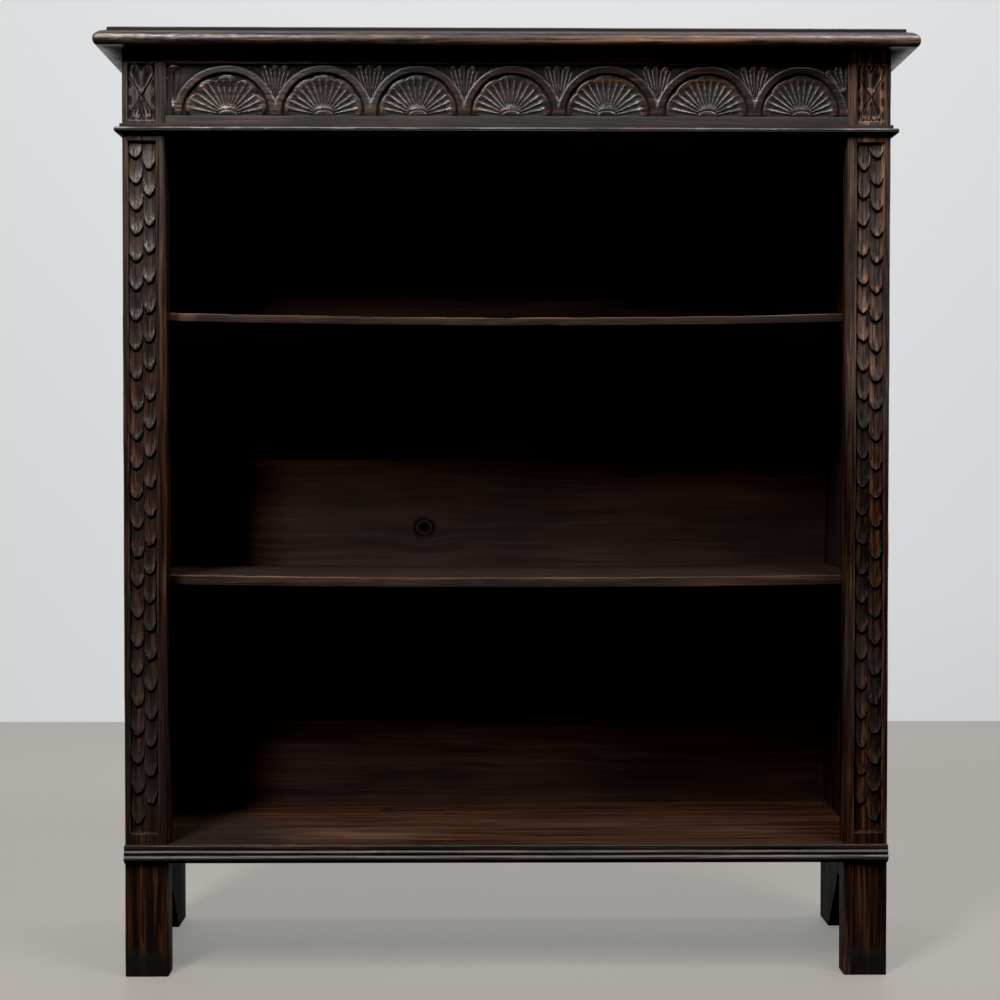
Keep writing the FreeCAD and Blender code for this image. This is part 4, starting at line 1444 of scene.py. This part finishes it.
def swept_moulding(node, section, run, worn, hollow, material, seed):
    """A strip whose rings are placed by run(share, out, up); rubbed along the points marked as worn,
    which also carry a painted highlight.
    """
    shares = np.linspace(0, 1, run_count)[:, None]
    out, up = section[:, 0][None, :], section[:, 1][None, :]
    rubbed = np.maximum(0, uneven(shares * run_length, up * 4, rub["cell"], seed) - rub["start"])
    points = run(shares, np.maximum(out - worn[None, :] * rubbed * rub["deep"], 0), up)
    rings = np.stack(np.broadcast_arrays(*points), axis=-1) * MM
    # the marked points also carry a painted highlight
    along = {"worn": wear_and_highlight_share * worn, "hollow": hollow, "proud": polish_and_highlight * worn}
    marks = {mark: np.tile(values, (run_count, 1)) for mark, values in along.items()}
    stand_for(node, rings, marks, material, "case")


def front_run(share, out, up):
    """Along the front, with a mitre at both ends."""
    return (2 * share - 1) * (outer_x + out), face_y - out, frieze_foot + up


def left_run(share, out, up):
    """Along the left side, mitred in front and square at the back."""
    return -(outer_x + out), (face_y - out) * (1 - share) + moulding_back * share, frieze_foot + up


def right_run(share, out, up):
    """Along the right side, the mirror image of the left."""
    x, y, z = left_run(share, out, up)
    return -x, y, z


section = frieze_moulding_section()
out, up = section.T
nose_start, nose_full = nose_wear["out"]
nose_worn = np.clip((out - nose_start) / (nose_full - nose_start), 0, 1) * (up > nose_wear["up"])
in_quirk = np.abs(up - nose_up) < quirk_half
in_cove = (up < cove_top) & (out > cove_foot / 2)
# painted shade in the cove, dirt in the quirk and on the fillet
moulding_dirt_and_shade = most(cove_shade_share * in_cove, 1.0 * in_quirk, fillet_dirt_share * (up > nose_top))
swept_moulding("frieze_moulding_front", section, front_run, nose_worn, moulding_dirt_and_shade, level_oak, seed=91)
swept_moulding("frieze_moulding_left", section, left_run, nose_worn, moulding_dirt_and_shade, return_oak, seed=92)
swept_moulding("frieze_moulding_right", section, right_run, nose_worn, moulding_dirt_and_shade, return_oak, seed=93)

# %% [markdown]
# ## Plinth moulding
# The strip over the edge of the bottom shelf has a flat band and two reeds. It takes most of the knocks,
# so its reeds are rubbed a little, and on the side of each reed that looks up a grey painted highlight is
# laid.
# The strip is swept like the frieze moulding, but it runs straight across and is cut off square,
# so no point's run is longer than another's.

# %% Plinth moulding
plinth_low, plinth_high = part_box("plinth_moulding")
plinth_out = face_y - plinth_low.y / MM
plinth_top = (plinth_high.z - plinth_low.z) / MM
band_out = 5.0
band_arris = 1.2
upper_reed = 2.6
lower_reed = 3.5
plinth_fillet = 2.3
foot_cut = (0.6, 0.5)
band_gap = 0.4
reed_angles = (-85, 85, 10)  # first and last in degrees, and the number of points
# painted highlight on the side of each reed that looks up
reed_shine = {"share": 0.5, "angle": 28, "width": 24}
valley = {"out": 4.9, "slope": 0.6, "heights": (1, 16), "share": 0.9, "least": 0.3}


def plinth_section():
    """How far the strip stands out and its height, round the section from its lower back corner."""
    lower_up, lower_out = plinth_fillet + lower_reed, plinth_out - lower_reed
    upper_up, upper_out = lower_up + lower_reed + upper_reed, band_out - upper_reed / 4
    foot = [(0, 0), (lower_out - foot_cut[0], 0), (lower_out, foot_cut[1])]
    foot = np.array(foot + [(lower_out, plinth_fillet - fillet_gap)])
    lower = quarter((lower_out, lower_up), lower_reed, lower_reed, *reed_angles)
    upper = quarter((upper_out, upper_up), upper_reed, upper_reed, *reed_angles)
    band_ends = (upper_up + upper_reed + band_gap, plinth_top - band_arris - fillet_gap)
    band = np.array([(band_out, height) for height in band_ends])
    arris = quarter((band_out - band_arris, plinth_top - band_arris), band_arris, band_arris, 0, 90, 5)
    return len(foot), np.vstack([foot, lower, upper, band, arris, [(0, plinth_top)]])


def plinth_run(share, out, up):
    """Straight across the front, over both stiles."""
    return (2 * share - 1) * outer_x, face_y - out, plinth_low.z / MM + up


reed_start, section = plinth_section()
out, up = section.T
shine = reed_shine["share"] * hump(reed_shine["angle"], reed_shine["width"], np.linspace(*reed_angles))
# painted highlight on both reeds
reed_highlight = np.zeros(len(section))
reed_highlight[reed_start:reed_start + 2 * len(shine)] = np.tile(shine, 2)
in_valley = np.clip((valley["out"] - out) / valley["slope"], 0, 1)
in_valley = in_valley * (up > valley["heights"][0]) * (up < valley["heights"][1])
reed_dirt = np.maximum(valley["share"] * in_valley, valley["least"])
swept_moulding("plinth_moulding", section, plinth_run, reed_highlight, reed_dirt, level_oak, seed=95)

# %% [markdown]
# ## Shelves
# The two loose shelves bow under the books they have carried; the bottom shelf is fixed and straight,
# with an old crack near its middle. Their rings stand upright and run from left to right.
# A bend modifier could bow a flat board. Here the bow is one term of the formula, an arc between the bearers,
# and the ends stay level where they rest. The front arris is worn away unevenly.

# %% Shelf outline
shelf_arris = 2.2
lower_arris = 0.7  # of the upper one
rear_arris = 0.8
crack = {"middle": -107.0, "half": 42.0, "y": 76.0, "wide": 5.4, "deep": 0.5}
crack_rows = np.array([-9.0, -6.5, -4.5, -3.0, -1.5, 0.0, 1.5, 3.0, 4.5, 6.5, 9.0])
shelf_rows, under_rows = 56, 12
row_margin = 2
shelf_rings = 260
ring_margin = 4
pair_gap = 0.05


def shelf_ring(front, back, bottom, top):
    """The outline of a shelf seen from its end, from the middle of its front edge over the top."""
    arris, low = shelf_arris, shelf_arris * lower_arris
    nose_top = quarter((front + arris, top - arris), arris, arris, 180, 90, 6)
    nose_low = quarter((front + low, bottom + low), low, low, 270, 180, 5)
    inner = np.linspace(front + arris + row_margin, back - row_margin, shelf_rows)
    inner = np.sort(np.concatenate([inner, crack["y"] + crack_rows]))
    over = np.stack([inner, np.full(len(inner), top)], axis=-1)
    under = np.linspace(back - row_margin, front + arris + row_margin, under_rows)
    under = np.stack([under, np.full(under_rows, bottom)], axis=-1)
    cut = rear_arris
    rear = [(back - cut, top), (back, top - cut), (back, bottom + cut), (back - cut, bottom)]
    return np.vstack([nose_top, over, rear, under, nose_low])


def shelf_run(ends, notch):
    """Places of the rings from end to end, with a pair close together at each side of a notch."""
    run = np.linspace(-ends + ring_margin, ends - ring_margin, shelf_rings)
    pairs = [-notch - pair_gap, -notch, notch, notch + pair_gap]
    run = np.sort(np.concatenate([run, pairs]))
    run = run[np.abs(run) < ends - row_margin]
    return np.concatenate([[-ends, -ends + rear_arris], run, [ends - rear_arris, ends]])


print("points round a shelf:", len(shelf_ring(0.0, 200.0, 0.0, 12.0)))

# %% [markdown]
# ## Wear on the shelves
# A crack and two knot holes are sunk into the bottom shelf and filled with dirt.
# Books have rubbed a pale patch on its left, and its left end carries the painted shadow of the left stile.

# %% Worn shelves
lower_sag = 3.5
upper_sag = 5.0
bearer_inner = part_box("lower_right_bearer")[0].x / MM
knot_holes = ((-142.0, 76.0, 10.0, 11.0), (-66.0, 57.0, 5.0, 6.5))  # middle, then half its length and width
hole_edge = (1.08, 0.84)
gap_slope = 0.8
least_gap = 0.1
top_layer = 1.0  # points this little under the upper face belong to it
hollowing = {"deep": 0.35, "cell": 45, "ends": 30}  # low and high places of the upper face
front_rub = {"reach": (14, 1), "cell": 16, "edge": 6, "back": 0.9, "down": 0.6}
nose_rub = {"reach": (3.2, 0.5), "share": 0.02, "uneven": 0.35, "cell": 60, "bare": 0.6, "edge": 12}
# the top front arris is worn pale, partly as a painted highlight
arris_rub_and_highlight = {"heights": (1.7, 0.7), "reach": (4.0, 2.4), "share": 0.9}
pale_patch = {"middle": (-180, -65), "size": (110, 36), "share": 1.1, "uneven": 0.5, "cell": 40}
loose_dirt = {"edge": 0.46, "more": 0.08, "reach": (2, 8)}
# painted shadow of the left stile on the bottom shelf, leaning towards the back
stile_shadow = {"share": 0.55, "places": (-235, -310), "lean": 0.4}
gap_dirt = 1.5


def near_front(front, reach, yy):
    """Runs from 0 to 1 between two distances from the front edge."""
    return ease(front + reach[0], front + reach[1], yy)


def shelf_gaps(xx, yy):
    """The crack and the knot holes: 1 inside them, 0 outside."""
    wide = crack["wide"] * ease(1.0, 0.5, np.abs(xx - crack["middle"]) / crack["half"])
    gap = ease(wide + gap_slope, wide - gap_slope, np.abs(yy - crack["y"])) * (wide > least_gap)
    for middle_x, middle_y, half, breadth in knot_holes:
        off = np.hypot((xx - middle_x) / half, (yy - middle_y) / breadth)
        gap = np.maximum(gap, ease(*hole_edge, off))
    return gap


def patch_wear(xx, yy, seed):
    """The pale patch that books have rubbed."""
    x_off = (xx - pale_patch["middle"][0]) / pale_patch["size"][0]
    y_off = (yy - pale_patch["middle"][1]) / pale_patch["size"][1]
    broken = pale_patch["share"] + pale_patch["uneven"] * uneven(xx, yy * 3, pale_patch["cell"], seed)
    return np.exp(-(x_off**2 + y_off**2)) * broken


def shelf_edge_wear(xx, yy, zz, arris, front, bare_end, seed):
    """How rubbed the front edge is: in places, along its arris, which also carries a painted highlight,
    and to the left of bare_end.
    """
    nose = near_front(front, nose_rub["reach"], yy)
    rubbed = nose_rub["share"] + nose_rub["uneven"] * uneven(xx, zz, nose_rub["cell"], seed)
    bare = nose_rub["bare"] * ease(bare_end + nose_rub["edge"], bare_end - nose_rub["edge"], xx)
    return np.clip(np.maximum(nose * (rubbed + bare), arris_rub_and_highlight["share"] * arris), 0, 1)


def worn_shelf(node, body, sag, notch, cracked, bare_end, seed):
    """One shelf: its outline swept from end to end, bowed, rubbed in front, and notched round the stiles
    if it is fixed. To the left of bare_end its front edge has lost its stain."""
    low, high = (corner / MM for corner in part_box(node))
    ring = shelf_ring(low.y, high.y, low.z + sag, high.z)
    xx, yy = np.meshgrid(shelf_run(high.x, notch), ring[:, 0], indexing="ij")
    yy = np.where(np.abs(xx) > notch, np.maximum(yy, stile_back), yy)
    zz = np.broadcast_to(ring[:, 1], xx.shape).copy()
    upper = zz > high.z - top_layer
    swell = 1 + uneven(xx, yy, hollowing["cell"], seed)
    zz -= upper * hollowing["deep"] * swell * ease(high.x, high.x - hollowing["ends"], np.abs(xx))
    rubbed = np.maximum(0, uneven(xx, zz * 3, front_rub["cell"], seed + 1))
    rubbed = near_front(low.y, front_rub["reach"], yy) * rubbed
    yy = yy + rubbed * front_rub["back"] * (yy < low.y + front_rub["edge"])
    zz -= upper * rubbed * front_rub["down"]
    gap = shelf_gaps(xx, yy) * cracked * upper
    zz -= crack["deep"] * gap
    # worn arris with a painted highlight
    arris = ease(high.z - arris_rub_and_highlight["heights"][0], high.z - arris_rub_and_highlight["heights"][1], ring[:, 1])[None, :]
    arris = arris * near_front(low.y, arris_rub_and_highlight["reach"], yy)
    zz -= sag * np.clip(1 - (xx / bearer_inner) ** 2, 0, 1)
    worn = shelf_edge_wear(xx, yy, zz, arris, low.y, bare_end, seed + 2)
    worn = np.maximum(worn, cracked * patch_wear(xx, yy, seed + 3) * upper)
    loose = loose_dirt["edge"] + loose_dirt["more"] * near_front(low.y, loose_dirt["reach"], yy)
    loose = (1 - cracked) * loose
    # painted shadow of the left stile
    end = cracked * stile_shadow["share"] * ease(*stile_shadow["places"], xx + stile_shadow["lean"] * yy)
    marks = {"worn": worn, "hollow": most(np.clip(gap * gap_dirt, 0, 1), loose, end)}
    rings = np.stack([xx, yy, zz], axis=-1) * MM
    stand_for(node, rings, marks, shelf_wood, body)


nowhere = 1000.0  # further out than any shelf reaches
worn_shelf("lower_shelf", "lower_shelf", lower_sag, nowhere, cracked=0.0, bare_end=-nowhere, seed=201)
worn_shelf("upper_shelf", "upper_shelf", upper_sag, nowhere, cracked=0.0, bare_end=-345.0, seed=211)
worn_shelf("bottom_shelf", "case", 0.0, rail_half, cracked=1.0, bare_end=-nowhere, seed=221)

# %% [markdown]
# ## Boards that keep their frame shape
# The sides, the back, the battens and the fasteners are plain shapes, and the frame already has them right.
# They only need soft arrises: a weld joins the loose faces of the loaded mesh, and a small bevel rounds
# its edges. Their finish goes into the material slots that the loaded meshes already have.

# %% Plain boards
weld_reach = 0.00001  # metres
bevel_segments = 3
bevel_angle = 35  # degrees
hands = ("left", "right")
sides = [f"{hand}_side" for hand in hands]
back_boards = [f"back_board_{number}" for number in range(1, board_count + 1)]
battens = [f"{level}_{hand}_bearer" for level in ("lower", "upper") for hand in hands]
battens += ["left_top_cleat", "right_top_cleat", "frieze_glue_blocks", "shelf_glue_blocks"]
fasteners = ["bearer_screws", "cleat_screws", "back_nails"]


def soft_arrises(node, width, material):
    """Rounds the arrises of one board of the frame and gives it its finish."""
    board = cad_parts[node]
    weld = board.modifiers.new("joined faces", "WELD")
    weld.merge_threshold = weld_reach
    bevel = board.modifiers.new("soft arrises", "BEVEL")
    bevel.width = width
    bevel.segments = bevel_segments
    bevel.limit_method = "ANGLE"
    bevel.angle_limit = math.radians(bevel_angle)
    for slot in board.material_slots:
        slot.material = material
    print(node, "has soft arrises of", round(width / MM, 2), "mm")


plain_boards = (  # nodes, width of the arris in millimetres, and finish
    (sides, 1.4, plank_oak),
    (back_boards, 1.0, back_pine),
    (battens, 0.8, batten_pine),
    (fasteners, 0.3, steel),
)
for nodes, width, material in plain_boards:
    for node in nodes:
        soft_arrises(node, width * MM, material)
